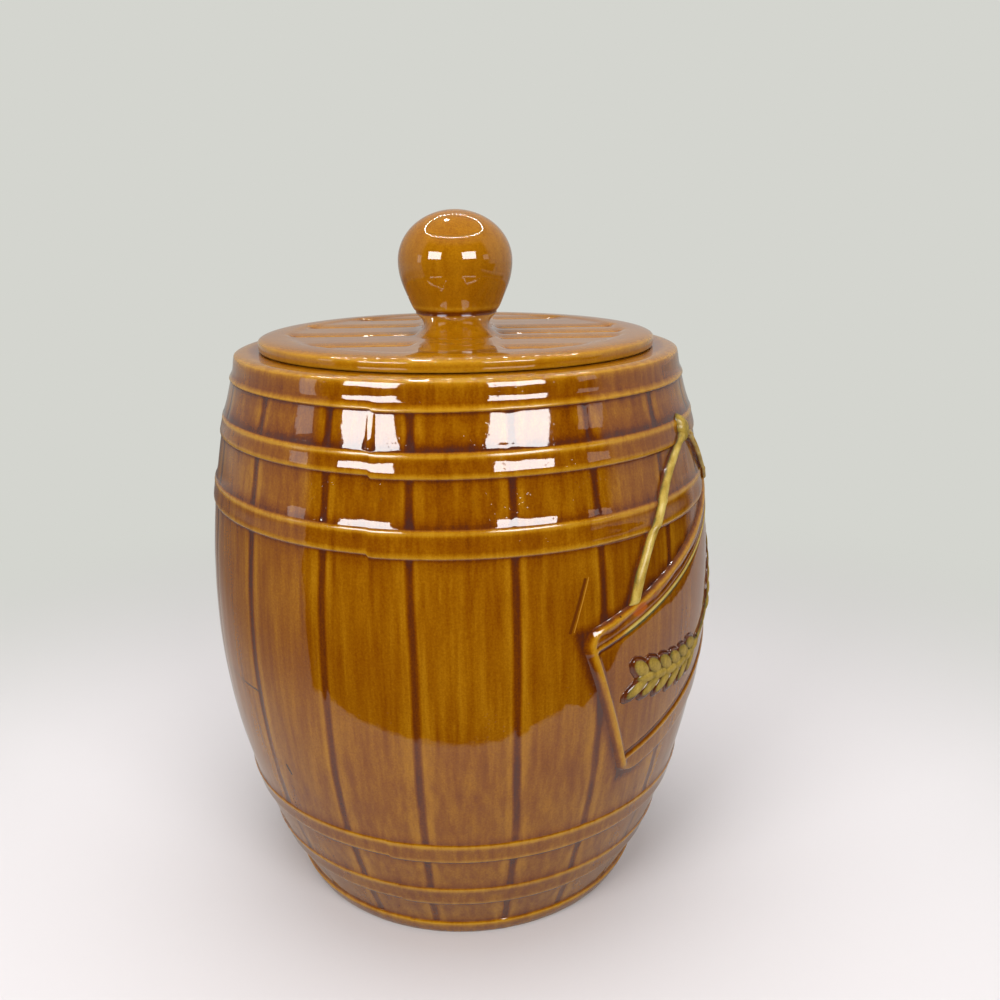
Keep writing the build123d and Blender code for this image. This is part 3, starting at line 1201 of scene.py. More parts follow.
    def inside_rows(self) -> list[tuple[float, float]]:
        """Radius and height of the rings from the mouth down to the floor's centre."""
        form = self.barrel
        lip = form.rim_height - self.lip_land
        rounding = [(self.mouth_radius + self.mouth_rounding * (1 - math.cos(turn)),
                     form.rim_height - self.mouth_rounding * (1 - math.sin(turn)))
                    for turn in np.radians([60, 30, 0])]
        wall = [(float(form.skin(z, -self.wall)), float(z)) for z in np.linspace(
            lip - self.lip_slope, self.floor_top + self.floor_corner, 18)]
        foot_radius, start = wall[-1]
        corner = [(foot_radius - self.floor_corner * (1 - math.cos(turn)) - 1.5 * turn,
                   start - self.floor_corner * math.sin(turn))
                  for turn in np.radians([20, 40, 60, 75, 90])]
        return rounding + [(self.mouth_radius, lip)] + wall + corner + [(38.0, self.floor_top)]

    def underside_rows(self) -> list[tuple]:
        """Radius, height and bareness of the rings from the base's centre to the foot."""
        ring, deep = self.barrel.foot_radius - self.foot_ring, self.foot_recess
        return [(30.0, deep), (ring - 2, deep), (ring - 0.6, deep - 0.3), (ring, deep - 1.0),
                (ring, 0.8, True), (ring + 0.5, 0.0, True)]

    def build(self, glaze: Material, bare: Material) -> Object:
        """Meshes the casting, cuts its joints and settles its glaze.

        Args:
            glaze: Finish of its faces.
            bare: Finish of the faces without glaze.

        Returns:
            The piece.
        """
        form, casting = self.barrel, Casting()
        azimuth, _, _ = self.columns()
        few = azimuth[::self.thinning]
        casting.pole(self.foot_recess)
        casting.rings(few, self.underside_rows())
        casting.ring(turned(azimuth, form.foot_radius - 1.2, 0.0), bare=True)
        casting.ring(turned(azimuth, form.foot_radius + 0.1, 0.06), bare=True, outer=0.3)
        self.carve_rows(casting)
        crest = form.rim_height - form.rim_rounding
        corner = float(form.skin(crest, form.hoops[-1].rise)) - form.rim_run
        casting.rings(azimuth, [(corner + form.rim_run * math.cos(turn),
                                 crest + form.rim_rounding * math.sin(turn))
                                for turn in np.radians([0, 14, 28, 44, 60, 75, 90])],
                      outer=1.0, row_height=crest)
        casting.rings(azimuth, [(corner - 0.8, form.rim_height)], outer=1.0,
                      row_height=form.rim_height)
        land = [(corner - 3.0, form.rim_height),
                (self.mouth_radius + self.mouth_rounding, form.rim_height)]
        casting.rings(few, land + self.inside_rows())
        casting.pole(self.floor_top)
        piece = casting.piece("jar")
        self.cut_recipe(glaze).run(piece)
        self.glaze_over(piece.data)
        return self.settle(piece, glaze, bare)

    def cut_recipe(self, glaze: Material) -> Recipe:
        """Tree that cuts the joints between the staves and works their faces.

        Args:
            glaze: Finish of its faces.

        Returns:
            The recipe.
        """
        recipe = Recipe("Coopered Staves", {
            "Joint Width": self.joint_width * MM, "Joint Depth": self.joint_depth * MM,
            "Stave Crown": 0.06 * MM, "Crown Width": 4.5 * MM, "Grain Depth": 0.13 * MM,
            "Grain Width": 3.6 * MM, "Grain Stretch": 14.0, "Stave Offset": 0.12 * MM,
            "Seam Ridge": 0.95 * MM, "Seam Width": 1.8 * MM, "Seam Foot": 180.0 * MM,
            "Seam Top": 188.0 * MM, "Hand Wave": 0.16 * MM, "Wave Size": 17.0 * MM,
            "Fine Wave": 0.11 * MM, "Fine Size": 6.0 * MM, "Seed": 4})
        tree, size = recipe.tree, recipe.size
        place = tree.take("GeometryNodeInputPosition", "Position")
        x, y, z = tree.split(place)
        joint, seam, staves, stave, outer = (recipe.attribute(name) for name in self.helpers[:-1])
        joint, seam = abs(joint) * MM, (seam * MM).ease(size("Seam Width"), 0.0)
        cut = joint.ease(size("Joint Width") * 0.5, 0.0) * size("Joint Depth")
        crown = joint.ease(size("Crown Width"), 0.0) * size("Stave Crown")
        grain = recipe.noise(tree.xyz(x, y, z / size("Grain Stretch")), "Grain Width", 2.0, 0.5)
        wave = recipe.noise(place, "Wave Size", 1.0, 0.4, 5.0)
        fine = recipe.noise(place, "Fine Size", 1.0, 0.4, 8.0)
        own = tree.math("SINE", stave * 37.7 + size("Seed"))
        ridge = seam * (fine * 3.0 + 0.9) * z.ease(size("Seam Foot"), size("Seam Top"))
        face = (grain * size("Grain Depth") * 2.0 + own * size("Stave Offset")
                + ridge * size("Seam Ridge") - cut - crown)
        height = face * staves + (wave * size("Hand Wave") + fine * size("Fine Wave")) * outer
        outwards = tree.vector("NORMALIZE", tree.vector("MULTIPLY", place, (1.0, 1.0, 0.0)))
        return recipe.move(tree.vector("SCALE", outwards, height), glaze)

    def glaze_over(self, mesh: Mesh) -> None:
        """Stores the thickness of the glaze, pooled at ledges, with painted shade under the hoops
        and a dark band round the sign and the ropes that is partly pooled glaze and partly
        painted shade.

        Args:
            mesh: The mesh, which changes.
        """
        settled = settle_glaze(mesh)
        points = points_of(mesh)
        outer, row, staves, joint = (read_mark(mesh, name) for name in
                                     ("outer", "row_height", "staves", "from_joint"))
        joint = np.abs(joint)
        azimuth = np.degrees(np.arctan2(points[:, 0], -points[:, 1]))
        aside, up = self.sign.flatten(azimuth, points[:, 2])
        near_top = ease(row, self.barrel.belly_height + 20, self.barrel.rim_height)
        shown = self.barrel.glaze(row) * (0.65 + 0.35 * near_top)
        shown += staves * (0.70 * ease(joint, 1.8, 0.6)
                           - 0.34 * ease(joint, 5.2, 2.2) * ease(joint, 1.1, 2.2))
        # partly pooled glaze, partly painted shade: darker in a band round the sign
        shown += ease(self.sign.outside(aside, up), 3.2, 0.4) * 0.95
        # partly pooled glaze, partly painted shade: darker beside each rope
        for rope in self.ropes:
            shown += ease(near_line(aside, up, rope), 3.4, 1.6) * 0.75
        self.store_glaze(mesh, 0.45 * settled + shown * (outer > 0.5), settled)


# ------------------------------------------------------------------ the sign in relief
def rounded_bar(place: Array, centre: float, half: float, height: float) -> Array:
    """Section of a round-topped bar, 0 beside it."""
    return height * np.clip(1 - ((place - centre) / half)**2, 0, 1)**0.6


@dataclass
class Sign(Piece):
    """The board of the hanging sign: a heavy top bar, borders and a sunk panel."""

    form: SignForm
    step: float = 0.62
    root: float = -2.5              # how far below the skin the relief is rooted
    skirt: float = 0.6              # outside the board, down into the skin
    corner: float = 6.2
    panel: float = 0.7
    margin_height: float = 0.9      # of the strip below the sill
    bar_place: float = 27.8
    bar_half: float = 2.8
    bar_height: float = 1.25
    ridge_place: float = 24.1
    ridge_half: float = 0.75
    ridge_height: float = 1.35
    ridge_groove: float = 1.3       # how far below the ridge its groove lies
    rim_inset: float = 1.8
    rim_half: float = 0.95
    rim_height: float = 1.55
    sill_place: float = -23.2
    sill_half: float = 0.6
    sill_height: float = 1.35
    sill_groove: float = 1.7        # how far above the sill its groove lies
    rim_end: tuple[float, float] = (-30.0, -25.0)   # across the board, where the rim fades in
    rounding: float = 1.3           # of the board's edge
    sunk: float = -0.8              # where that edge meets the skin
    crack: tuple[tuple[float, float], ...] = (      # that runs along the bar
        (-55.0, 28.4), (-48.0, 27.2), (-40.0, 28.0), (-30.0, 26.8), (-18.0, 27.4),
        (4.0, 26.9), (30.0, 27.4), (55.0, 27.0))
    ember_at: float = -37.4         # along the bar, where the rope ends

    def grid(self) -> tuple[Array, Array]:
        """Places along and across the board of its points."""
        along = self.form.length / 2 + self.skirt
        across = self.form.width / 2 + self.skirt
        fine = np.array([0.0, 0.35, 0.7, 1.1, 1.6])
        x = np.arange(-along + 2.2, along - 2.2 + 1e-6, self.step)
        y = np.arange(-across + 2.2, across - 2.2 + 1e-6, self.step)
        x = np.concatenate([-along + fine, x, along - fine[::-1]])
        y = np.concatenate([-across + fine, y, across - fine[::-1]])
        return np.meshgrid(x, y)

    def inset(self, along: Array, across: Array) -> Array:
        """Distance inwards from the board's outline, which has rounded corners.

        Args:
            along: Places along the board.
            across: Places across the board.

        Returns:
            The distance.
        """
        x = np.abs(along) - self.form.length / 2 - self.skirt + self.corner
        y = np.abs(across) - self.form.width / 2 - self.skirt + self.corner
        return (self.corner - np.hypot(np.maximum(x, 0), np.maximum(y, 0))
                - np.minimum(np.maximum(x, y), 0))

    def held(self, inset: Array) -> Array:
        """1 on the panel, 0 on the rim."""
        return ease(inset, 2.4, 3.4)

    def height(self, along: Array, across: Array) -> Array:
        """Relief of the board above the barrel's skin.

        Args:
            along: Places along the board.
            across: Places across the board.

        Returns:
            Height above the skin.
        """
        inset = self.inset(along, across)
        low = self.panel + (self.margin_height - self.panel) * ease(across, self.sill_place,
                                                                    self.sill_place - 1.0)
        dips = (0.30 * hump(across, self.ridge_place - self.ridge_groove, 0.5)
                + 0.50 * hump(across, self.sill_place + self.sill_groove, 0.9))
        low = low - dips * self.held(inset)
        past = (across - self.bar_place) / self.bar_half
        bar = self.bar_height * np.clip(1 - past**4, 0, 1)**0.5 * ease(inset, 0.6, 2.0)
        bar = bar - 0.45 * ease(near_line(along, across, self.crack), 1.0, 0.0)
        bar = bar + 0.07 * np.sin(along / 2.1 + 3 * np.sin(across)) * (bar > 0.8)
        rim = rounded_bar(inset, self.rim_inset, self.rim_half, self.rim_height)
        rim = rim * ease(across, *self.rim_end)
        ridge = rounded_bar(across, self.ridge_place, self.ridge_half, self.ridge_height)
        sill = rounded_bar(across, self.sill_place, self.sill_half, self.sill_height)
        inner = np.maximum.reduce([low, ridge, sill, rim, bar])
        return self.sunk + (inner - self.sunk) * round_over(inset / self.rounding)

    def build(self, glaze: Material) -> Object:
        """Meshes the board as a closed tile let into the barrel's wall.

        Args:
            glaze: Finish of its faces.

        Returns:
            The piece.
        """
        along, across = self.grid()
        aside, up = self.form.from_board(along, across)
        height = self.height(along, across)
        piece = relief_tile("sign", self.form, (aside, up), height, self.root)
        self.glaze_over(piece.data, np.tile(along.ravel(), 2), np.tile(across.ravel(), 2))
        return self.settle(piece, glaze)

    def glaze_over(self, mesh: Mesh, along: Array, across: Array) -> None:
        """Stores the thickness of the glaze and the painter's touches on the board, with a dark
        band along its outer edge that is partly pooled glaze and partly painted shade, and
        painted shade under the bar's crest.

        Args:
            mesh: The mesh, which changes.
            along: Places along the board.
            across: Places across the board.
        """
        settled = settle_glaze(mesh, fill=0.25, ridge_reach=0.8, hollow_reach=1.1)
        inset = self.inset(along, across)
        held, groove = self.held(inset), self.ridge_place - self.ridge_groove

        def line(place: float, half: float) -> Array:
            """1 on a line along the board, inside its rim."""
            return hump(across, place, half) * held

        # partly pooled glaze, partly painted shade: darker along the board's outer edge
        glaze = 0.5 * settled + 0.05 + 0.9 * ease(inset, 1.2, 0.3)
        glaze -= (0.50 * ease(np.abs(inset - self.rim_inset), 1.3, 0.5)
                  * ease(across, *self.rim_end))
        glaze += 0.70 * line(groove, 0.6) - 0.25 * line(self.ridge_place, 0.8)
        glaze += (0.75 * line(self.sill_place + self.sill_groove, 0.95)
                  - 0.45 * line(self.sill_place, 0.6))
        # painted shade: a dark line along the lower side of the bar's crest
        glaze += 0.55 * line(self.bar_place - 1.3, 0.9)
        painted = ease(along, -50.0, -42.0)
        green = np.maximum(line(self.ridge_place, 0.9) * 0.85,
                           line(groove, 0.7) * 0.8) * painted
        spot = np.hypot((along - self.ember_at) / 1.5, across - self.bar_place + 0.1)
        rust = (0.42 + 0.3 * np.sin(along * 1.3) * np.sin(across * 2.1 + along * 0.4))
        rust = rust * ease(np.abs(along - self.ember_at - 5.0), 16.0, 3.0)
        rust = rust * ease(np.abs(across - self.bar_place), 2.4, 1.0)
        write_mark(mesh, Mark.GLAZE.value, np.clip(glaze, -1, 1))
        write_mark(mesh, Mark.PAINT.value, green)
        write_mark(mesh, Mark.EMBER.value, np.maximum(ease(spot, 2.9, 1.2), rust))


def relief_tile(name: str, form: SignForm, place: tuple[Array, Array],
                height: Array, root: float) -> Object:
    """Closed tile of relief that is let into the barrel's wall.

    Args:
        name: Name of the piece.
        form: Where the sign lies.
        place: Grids of the sideways and upward places of its points.
        height: Grid of their heights above the skin.
        root: Height of the tile's underside.

    Returns:
        The object.
    """
    rows, columns = height.shape
    under = rows * columns
    index = np.arange(under).reshape(rows, columns)
    faces = np.stack([index[:-1, :-1], index[:-1, 1:], index[1:, 1:], index[1:, :-1]], -1)
    faces = faces.reshape(-1, 4)
    rim = np.concatenate([index[0, :], index[1:, -1], index[-1, -2::-1], index[-2:0:-1, 0]])
    ahead = np.roll(rim, -1)
    sides = np.stack([ahead, rim, rim + under, ahead + under], -1)
    points = [form.wrap(*place, level).reshape(-1, 3)
              for level in (height, np.full_like(height, root))]
    return closed_piece(name, np.concatenate(points), np.concatenate(
        [faces, (faces + under)[:, ::-1], sides]).tolist())


@dataclass
class Strand(Piece):
    """A run of the rope in relief, from the nail down to the board's top bar."""

    form: SignForm
    name: str
    line: Array                     # points in the plane that faces the sign
    width: float = 2.9
    height: float = 1.9
    root: float = -2.5
    step: float = 0.8
    paint: float = 1.0              # share of it that the painter's colour covers
    section: tuple[tuple[float, float], ...] = (
        (-1.14, -0.30), (-1.05, -0.05), (-0.98, 0.22), (-0.88, 0.55), (-0.66, 0.85),
        (-0.35, 0.98), (0.0, 1.0), (0.35, 0.97), (0.66, 0.84), (0.88, 0.54), (0.98, 0.22),
        (1.05, -0.05), (1.14, -0.30))

    def route(self) -> Array:
        """Evenly spaced points of the smooth line through the given ones."""
        line = np.array(self.line, float)
        for _ in range(3):
            quarter, rest = line[:-1] * 0.75 + line[1:] * 0.25, line[:-1] * 0.25 + line[1:] * 0.75
            cut = np.stack([quarter, rest], 1).reshape(-1, 2)
            line = np.concatenate([line[:1], cut, line[-1:]])
        lengths = np.concatenate([[0], np.cumsum(np.hypot(*np.diff(line, axis=0).T))])
        even = np.linspace(0, lengths[-1], round(lengths[-1] / self.step) + 1)
        return np.stack([np.interp(even, lengths, line[:, k]) for k in (0, 1)], 1)

    def build(self, glaze: Material) -> Object:
        """Meshes the strand with a skirt that runs into the barrel's skin.

        Args:
            glaze: Finish of its faces.

        Returns:
            The piece.
        """
        route = self.route()
        ahead = np.gradient(route, axis=0)
        ahead = ahead / np.hypot(*ahead.T)[:, None]
        left = np.stack([-ahead[:, 1], ahead[:, 0]], 1)
        run = np.linspace(0, 1, len(route))
        shares, heights = np.array(self.section).T
        sway = 1 + 0.05 * np.sin(run * 31) + 0.04 * np.sin(run * 13 + 2)
        half = (self.width / 2 * sway)[:, None] * shares
        aside, up = route[:, :1] + left[:, :1] * half, route[:, 1:] + left[:, 1:] * half
        ends = (np.clip(run / 0.03, 0, 1) * np.clip((1 - run) / 0.03, 0, 1))**0.5
        hoops = self.form.barrel.hoop_height(self.form.height + up)
        height = (heights * self.height * (0.25 + 0.75 * ends)[:, None]
                  + 0.55 * np.minimum(hoops, 1.0))
        piece = relief_tile(self.name, self.form, (aside, up), height, self.root)
        crown = np.broadcast_to(heights, height.shape)
        low = ease(crown, 0.7, 0.1)
        mottle = (0.30 * np.sin(run * 57 + 1)[:, None] * np.sin(shares * 3 + run[:, None] * 19)
                  + 0.22 * np.sin(run * 23)[:, None])
        thick = np.clip(low * 1.15 - 0.40 + mottle * (1 - low), -1, 1)
        paint = ease(crown, 0.05, 0.4) * self.paint
        for mark, values in ((Mark.GLAZE, thick), (Mark.PAINT, paint)):
            write_mark(piece.data, mark.value, np.tile(values.ravel(), 2))
        return self.settle(piece, glaze)


@dataclass
class Nail(Piece):
    """The nail's head, with the rope knotted over it into a drawn-out triangle."""

    form: SignForm
    aside: float = -7.0
    up: float = 65.6
    corners: tuple[tuple[float, float], ...] = (
        (4.4, -1.4), (1.6, 3.2), (-2.2, 4.6), (-2.9, 1.4), (-2.6, -2.2), (-0.9, -5.2),
        (1.4, -3.4))
    columns: int = 48
    # painted shade: a dark spot stands for the hole in the knot
    hole_shade: tuple[float, float] = (1.9, -0.7)          # the dark hole, from its middle
    section: tuple[tuple[float, float], ...] = (    # share of its outline, height
        (1.30, -2.5), (1.30, -0.6), (1.12, 0.0), (1.0, 0.9), (0.90, 1.7), (0.74, 2.35),
        (0.52, 2.75), (0.26, 2.9))

    def outline(self, turn: Array) -> Array:
        """Distance of the knot's edge from its middle, in the directions given.

        Args:
            turn: Directions in radians.

        Returns:
            The distances.
        """
        x, y = np.array(self.corners).T
        angles = np.arctan2(y, x)
        reach = np.interp(turn, angles[np.argsort(angles)],
                          np.hypot(x, y)[np.argsort(angles)], period=2 * math.pi)
        for _ in range(3):
            reach = (np.roll(reach, 1) + 2 * reach + np.roll(reach, -1)) / 4
        return reach

    def build(self, glaze: Material) -> Object:
        """Meshes the knot as a rounded boss.

        Args:
            glaze: Finish of its faces.

        Returns:
            The piece.
        """
        turn = np.linspace(0, 2 * math.pi, self.columns, endpoint=False)
        edge = self.outline(turn)
        middle = np.array([[self.aside], [self.up]])
        casting = Casting()
        casting.ring(self.form.wrap(*middle, np.array([self.section[0][1]])))
        for share, height in self.section:
            x, y = edge * share * np.cos(turn), edge * share * np.sin(turn)
            # painted shade of the knot's hole
            dark = ease(np.hypot(x - self.hole_shade[0], y - self.hole_shade[1]), 0.9, 0.5)
            thick = np.interp(height, (0.0, 1.2, 2.8), (0.9, 0.1, -0.35))
            casting.ring(self.form.wrap(self.aside + x, self.up + y,
                                        np.full(self.columns, height)),
                         glaze=np.maximum(thick, dark), paint=float(height > 0.5))
        casting.ring(self.form.wrap(*middle, np.array([self.section[-1][1] + 0.05])),
                     glaze=-0.3, paint=1.0)
        return self.settle(casting.piece("nail_knot"), glaze)


@dataclass
class WheatEar(Piece):
    """A generic ear of wheat in relief on the sign's panel."""

    sign: Sign
    name: str
    start: tuple[float, float]      # the stem's foot, along and across the board
    end: tuple[float, float]        # the ear's tip
    bend: float = 5.0
    kernels: int = 6
    kernel_length: float = 11.4
    kernel_width: float = 5.1
    kernel_rise: float = 1.2
    stem_width: float = 1.9
    ear_share: float = 0.62
    steps: int = 14                 # of its curved line

    def recipe(self, glaze: Material) -> Recipe:
        """Tree that sets pairs of kernels along the ear and draws the stem.

        Args:
            glaze: Finish of its faces.

        Returns:
            The recipe.
        """
        recipe = Recipe("Wheat Ear", {
            "Kernel Pairs": self.kernels, "Kernel Length": self.kernel_length * MM,
            "Kernel Width": self.kernel_width * MM, "Kernel Rise": self.kernel_rise * MM,
            "Stem Width": self.stem_width * MM, "Ear Share": self.ear_share, "Lean": 0.66})
        tree, size = recipe.tree, recipe.size
        curve = tree.take("GeometryNodeMeshToCurve", "Curve", {"Mesh": size("Geometry")})
        circle = tree.take("GeometryNodeCurvePrimitiveCircle", "Curve",
                           {"Resolution": 10, "Radius": size("Stem Width") * 0.5})
        stem = tree.take("GeometryNodeCurveToMesh", "Mesh",
                         {"Curve": curve, "Profile Curve": circle, "Fill Caps": True})
        ear = tree.take("GeometryNodeTrimCurve", "Curve",
                        {"Curve": curve, 2: 1.0 - size("Ear Share"), 3: 1.0}, mode="FACTOR")
        seats = tree.node("GeometryNodeCurveToPoints",
                          {"Curve": ear, "Count": size("Kernel Pairs")}, mode="COUNT")
        ball = tree.take("GeometryNodeMeshUVSphere", "Mesh",
                         {"Segments": 12, "Rings": 8, "Radius": 0.5})
        joined = tree.node("GeometryNodeJoinGeometry")
        for part in [stem, *(self._kernels(recipe, seats, ball, side, spread)
                             for side in (-1.0, 0.0, 1.0) for spread in (1.0, 1.35))]:
            tree.group.links.new(part.socket, joined.inputs[0])
        return recipe.close(Value(tree, joined.outputs[0]), glaze)

    def _kernels(self, recipe: Recipe, seats: Node, ball: Value,
                 side: float, spread: float) -> Value:
        """A row of kernels, or of the flat beds round them if they are spread.

        Args:
            recipe: Recipe that the row is made in.
            seats: Node that gives the points along the ear.
            ball: The kernel's plain ball.
            side: Which side of the ear, or 0 for its middle.
            spread: How many times wider than a kernel.

        Returns:
            The row's instances.
        """
        tree, size = recipe.tree, recipe.size
        share = 1.0 if side else 0.8
        flat = 1.0 if spread == 1.0 else 0.3
        scale = tree.xyz(size("Kernel Length") * (share * (0.5 + 0.5 * spread)),
                         size("Kernel Width") * (share * spread),
                         size("Kernel Rise") * (2.0 * flat / share))
        shift = tree.xyz(size("Kernel Length") * (0.30 if side else 0.0),
                         size("Kernel Width") * (0.62 * side))
        aimed = tree.take("FunctionNodeAlignRotationToVector", "Rotation",
                          {"Vector": Value(tree, seats.outputs["Tangent"])}, axis="X")
        row = tree.take("GeometryNodeInstanceOnPoints", "Instances",
                        {"Points": Value(tree, seats.outputs["Points"]),
                         "Instance": ball, "Rotation": aimed})
        lean = tree.xyz(0.0, 0.0, size("Lean") * side)
        for kind, name, value in (("Translate", "Translation", shift),
                                  ("Rotate", "Rotation", lean), ("Scale", "Scale", scale)):
            row = tree.take(f"GeometryNode{kind}Instances", "Instances",
                            {"Instances": row, name: value})
        return row

    def build(self, glaze: Material) -> Object:
        """Grows the ear flat and wraps it on the sign's panel.

        Args:
            glaze: Finish of its faces.

        Returns:
            The piece.
        """
        start, end = Vector((*self.start, 0)), Vector((*self.end, 0))
        side = Vector((-(end - start).y, (end - start).x, 0)).normalized()
        places = [start.lerp(end, t) + side * self.bend * math.sin(math.pi * t)
                  for t in np.linspace(0, 1, self.steps + 1)]
        mesh = bpy.data.meshes.new(self.name)
        mesh.from_pydata([p * MM for p in places],
                         [(i, i + 1) for i in range(self.steps)], [])
        piece = add_object(self.name, mesh)
        self.recipe(glaze).run(piece)
        along, across, rise = points_of(piece.data).T
        aside, up = self.sign.form.from_board(along, across)
        offset = self.sign.panel + np.maximum(rise, -1.2)
        move_points(piece.data, self.sign.form.wrap(aside, up, offset))
        face_outwards(piece.data)
        write_mark(piece.data, Mark.GLAZE.value, 0.75 - 0.85 * ease(rise, 0.45, 1.1))
        write_mark(piece.data, Mark.PAINT.value, ease(rise, 0.40, 0.62))
        return self.settle(piece, glaze)


# ------------------------------------------------------------------ the lid
@dataclass
class Lid(Piece):
    """The lid's casting: a planked barrel head with a waisted neck and a ball knob."""

    rim_height: float
    radius: float
    top_height: float               # of the knob
    thickness: float = 5.0
    edge_height: float = 3.2
    shoulder: float = 8.0
    flange_radius: float = 61.5
    flange_wall: float = 6.0
    flange_depth: float = 12.0
    head_radius: float = 62.0
    head_half_span: float = 59.0
    head_sink: float = 0.5
    batten_width: float = 26.6
    left_joints: tuple[float, ...] = (46.0, 21.0, -6.0, -35.0)
    right_joints: tuple[float, ...] = (44.0, 12.0, -5.0, -20.5, -45.5)
    joint_width: float = 3.0
    joint_depth: float = 0.62
    columns: int = 576
    thinning: int = 3
    plank_step: float = 0.68
    neck_foot: tuple[float, float] = (15.4, 29.0)
    neck_square: float = 3.4        # power of its foot's outline, which is 2 for a round
    neck_waist: float = 11.5
    neck_height: float = 6.2
    neck_top: float = 15.0
    knob_foot_radius: float = 15.6
    cone_radius: float = 18.9
    cone_height: float = 8.0
    knob_radius: float = 20.8
    knob_lower: float = 9.4
    knob_upper: float = 18.0
    knob_wall: float = 6.8
    vent_radius: float = 4.0
    body = "lid"
    node = "lid"
    slot = "lid_amber_glaze"
    helpers = ("planks", "outer", "pool")

    def __post_init__(self) -> None:
        """Works out the heights that follow from the sizes."""
        self.plate_top = self.rim_height + self.thickness
        self.widest = self.top_height - self.knob_upper
        self.knob_foot = self.widest - self.knob_lower - self.cone_height

    def outline(self, half: tuple[float, float], power: float) -> Array:
        """Distance from the axis, at each column, of a rounded oblong's edge.

        Args:
            half: Half sizes to the side and to the front.
            power: How square it is: 2 makes an oval.

        Returns:
            The distances.
        """
        turn = np.radians(self.azimuths())
        across, along = np.abs(np.sin(turn)) / half[0], np.abs(np.cos(turn)) / half[1]
        return (across**power + along**power)**(-1 / power)

    def azimuths(self) -> Array:
        """Azimuths of the fine columns."""
        return np.arange(self.columns) * 360 / self.columns

    def hidden_rows(self) -> list[tuple]:
        """Radius, height and bareness from inside the knob to the lid's edge."""
        ball, base = self.knob_radius - self.knob_wall, self.rim_height
        rows = [(ball * math.sin(turn), self.widest + ball * math.cos(turn))
                for turn in np.radians([15, 30, 45, 60, 75, 90, 105, 120, 135, 150, 163])]
        vent, outer = self.vent_radius, self.flange_radius
        inner, low = outer - self.flange_wall, base - self.flange_depth
        return rows + [(vent, base + 8), (vent, base + 0.6), (vent + 0.6, base),
                       (inner - 1.5, base), (inner, base - 1.5), (inner, low + 1.2),
                       (inner + 0.4, low + 0.3), (inner + 1.2, low, True),
                       (outer - 1.2, low, True), (outer - 0.3, low + 0.4, True),
                       (outer, low + 1.2), (outer, base - 0.8), (outer + 0.8, base, True)]

    def edge_rows(self) -> list[tuple]:
        """Radius, height and bareness round the lid's edge and up its shoulder."""
        edge, low = self.radius, self.rim_height
        rows = [(edge - 0.9, low, True), (edge - 0.25, low + 0.2), (edge, low + 0.9),
                (edge, low + 2.1)]
        start, corner, end = np.array([(edge, low + self.edge_height), (edge, self.plate_top),
                                       (edge - self.shoulder, self.plate_top)])
        return rows + [tuple((1 - t)**2 * start + 2 * t * (1 - t) * corner + t * t * end)
                       for t in np.linspace(0, 1, 10)]

    def build(self, glaze: Material, bare: Material) -> Object:
        """Meshes the casting, cuts its planks and settles its glaze.

        Args:
            glaze: Finish of its faces.
            bare: Finish of the faces without glaze.

        Returns:
            The piece.
        """
        casting, azimuth = Casting(), self.azimuths()
        few = azimuth[::self.thinning]
        ball = self.knob_radius - self.knob_wall
        casting.pole(self.widest + ball)
        casting.rings(few, self.hidden_rows())
        casting.rings(azimuth, self.edge_rows(), outer=1.0)
        foot = self.outline(self.neck_foot, self.neck_square)
        border = self.radius - self.shoulder
        steps = round((border - self.neck_foot[0]) / self.plank_step)
        casting.rings(azimuth, [(foot + (border - foot) * share, self.plate_top)
                                for share in np.linspace(1, 0, steps + 1)[1:]],
                      planks=1.0, outer=1.0)
        self.add_neck(casting, azimuth)
        self.add_knob(casting, few)
        piece = casting.piece("lid_and_knob")
        self.plank_recipe(glaze).run(piece)
        self.glaze_over(piece.data)
        return self.settle(piece, glaze, bare)

    def add_neck(self, casting: Casting, azimuth: Array) -> None:
        """Rings from the neck's foot, which sweeps forward, to its round top.

        Args:
            casting: Casting that the rings are added to.
            azimuth: Azimuths of the fine columns.
        """
        for rise in np.linspace(0, 1, 25)[1:]:
            across = (self.neck_waist + (self.neck_foot[0] - self.neck_waist) * (1 - rise)**4
                      + (self.neck_top - self.neck_waist) * rise**4)
            along = self.neck_top + (self.neck_foot[1] - self.neck_top) * (1 - rise)**1.7
            outline = self.outline((across, along), self.neck_square
                                   + (2.0 - self.neck_square) * rise**4)
            casting.ring(turned(azimuth, outline, self.plate_top
                                + self.neck_height * rise**1.15),
                         planks=float(ease(np.array(rise), 0.2, 0.0)), outer=1.0)

    def add_knob(self, casting: Casting, few: Array) -> None:
        """Rings of the crease, the cone and the ball, up to the pole.

        Args:
            casting: Casting that the rings are added to.
            few: Azimuths of the coarse columns.
        """
        neck_top = self.plate_top + self.neck_height
        groove = self.knob_foot_radius - 0.8
        rows = [(self.neck_top - 0.05, neck_top + 0.15, 0.9), (groove, neck_top + 0.45, 1.0),
                (groove - 0.05, neck_top + 0.9, 1.0), (groove + 0.1, neck_top + 1.3, 1.0),
                (self.knob_foot_radius - 0.2, self.knob_foot + 0.35, 0.9),
                (self.knob_foot_radius + 0.25, self.knob_foot + 0.9, 0.0)]
        spread = self.cone_radius - self.knob_foot_radius
        rows += [(self.knob_foot_radius + spread * share,
                  self.knob_foot + self.cone_height * share, -0.4 if share == 0.2 else 0.0)
                 for share in np.linspace(0.2, 1, 7)]
        run = self.knob_radius - self.cone_radius
        bulge = (self.knob_lower**2 + run**2) / (2 * run)
        rows += [(self.knob_radius - bulge + math.sqrt(bulge**2 - (self.widest - height)**2),
                  height, 0.0)
                 for height in np.linspace(self.widest - self.knob_lower, self.widest, 9)[1:]]
        rows += [(self.knob_radius * math.cos(turn),
                  self.widest + self.knob_upper * math.sin(turn), 0.0)
                 for turn in np.radians(np.linspace(0, 90, 26)[1:-1])]
        for radius, height, pool in rows:
            casting.ring(turned(few, radius, height), outer=1.0, pool=pool)
        casting.pole(self.top_height, outer=1.0)

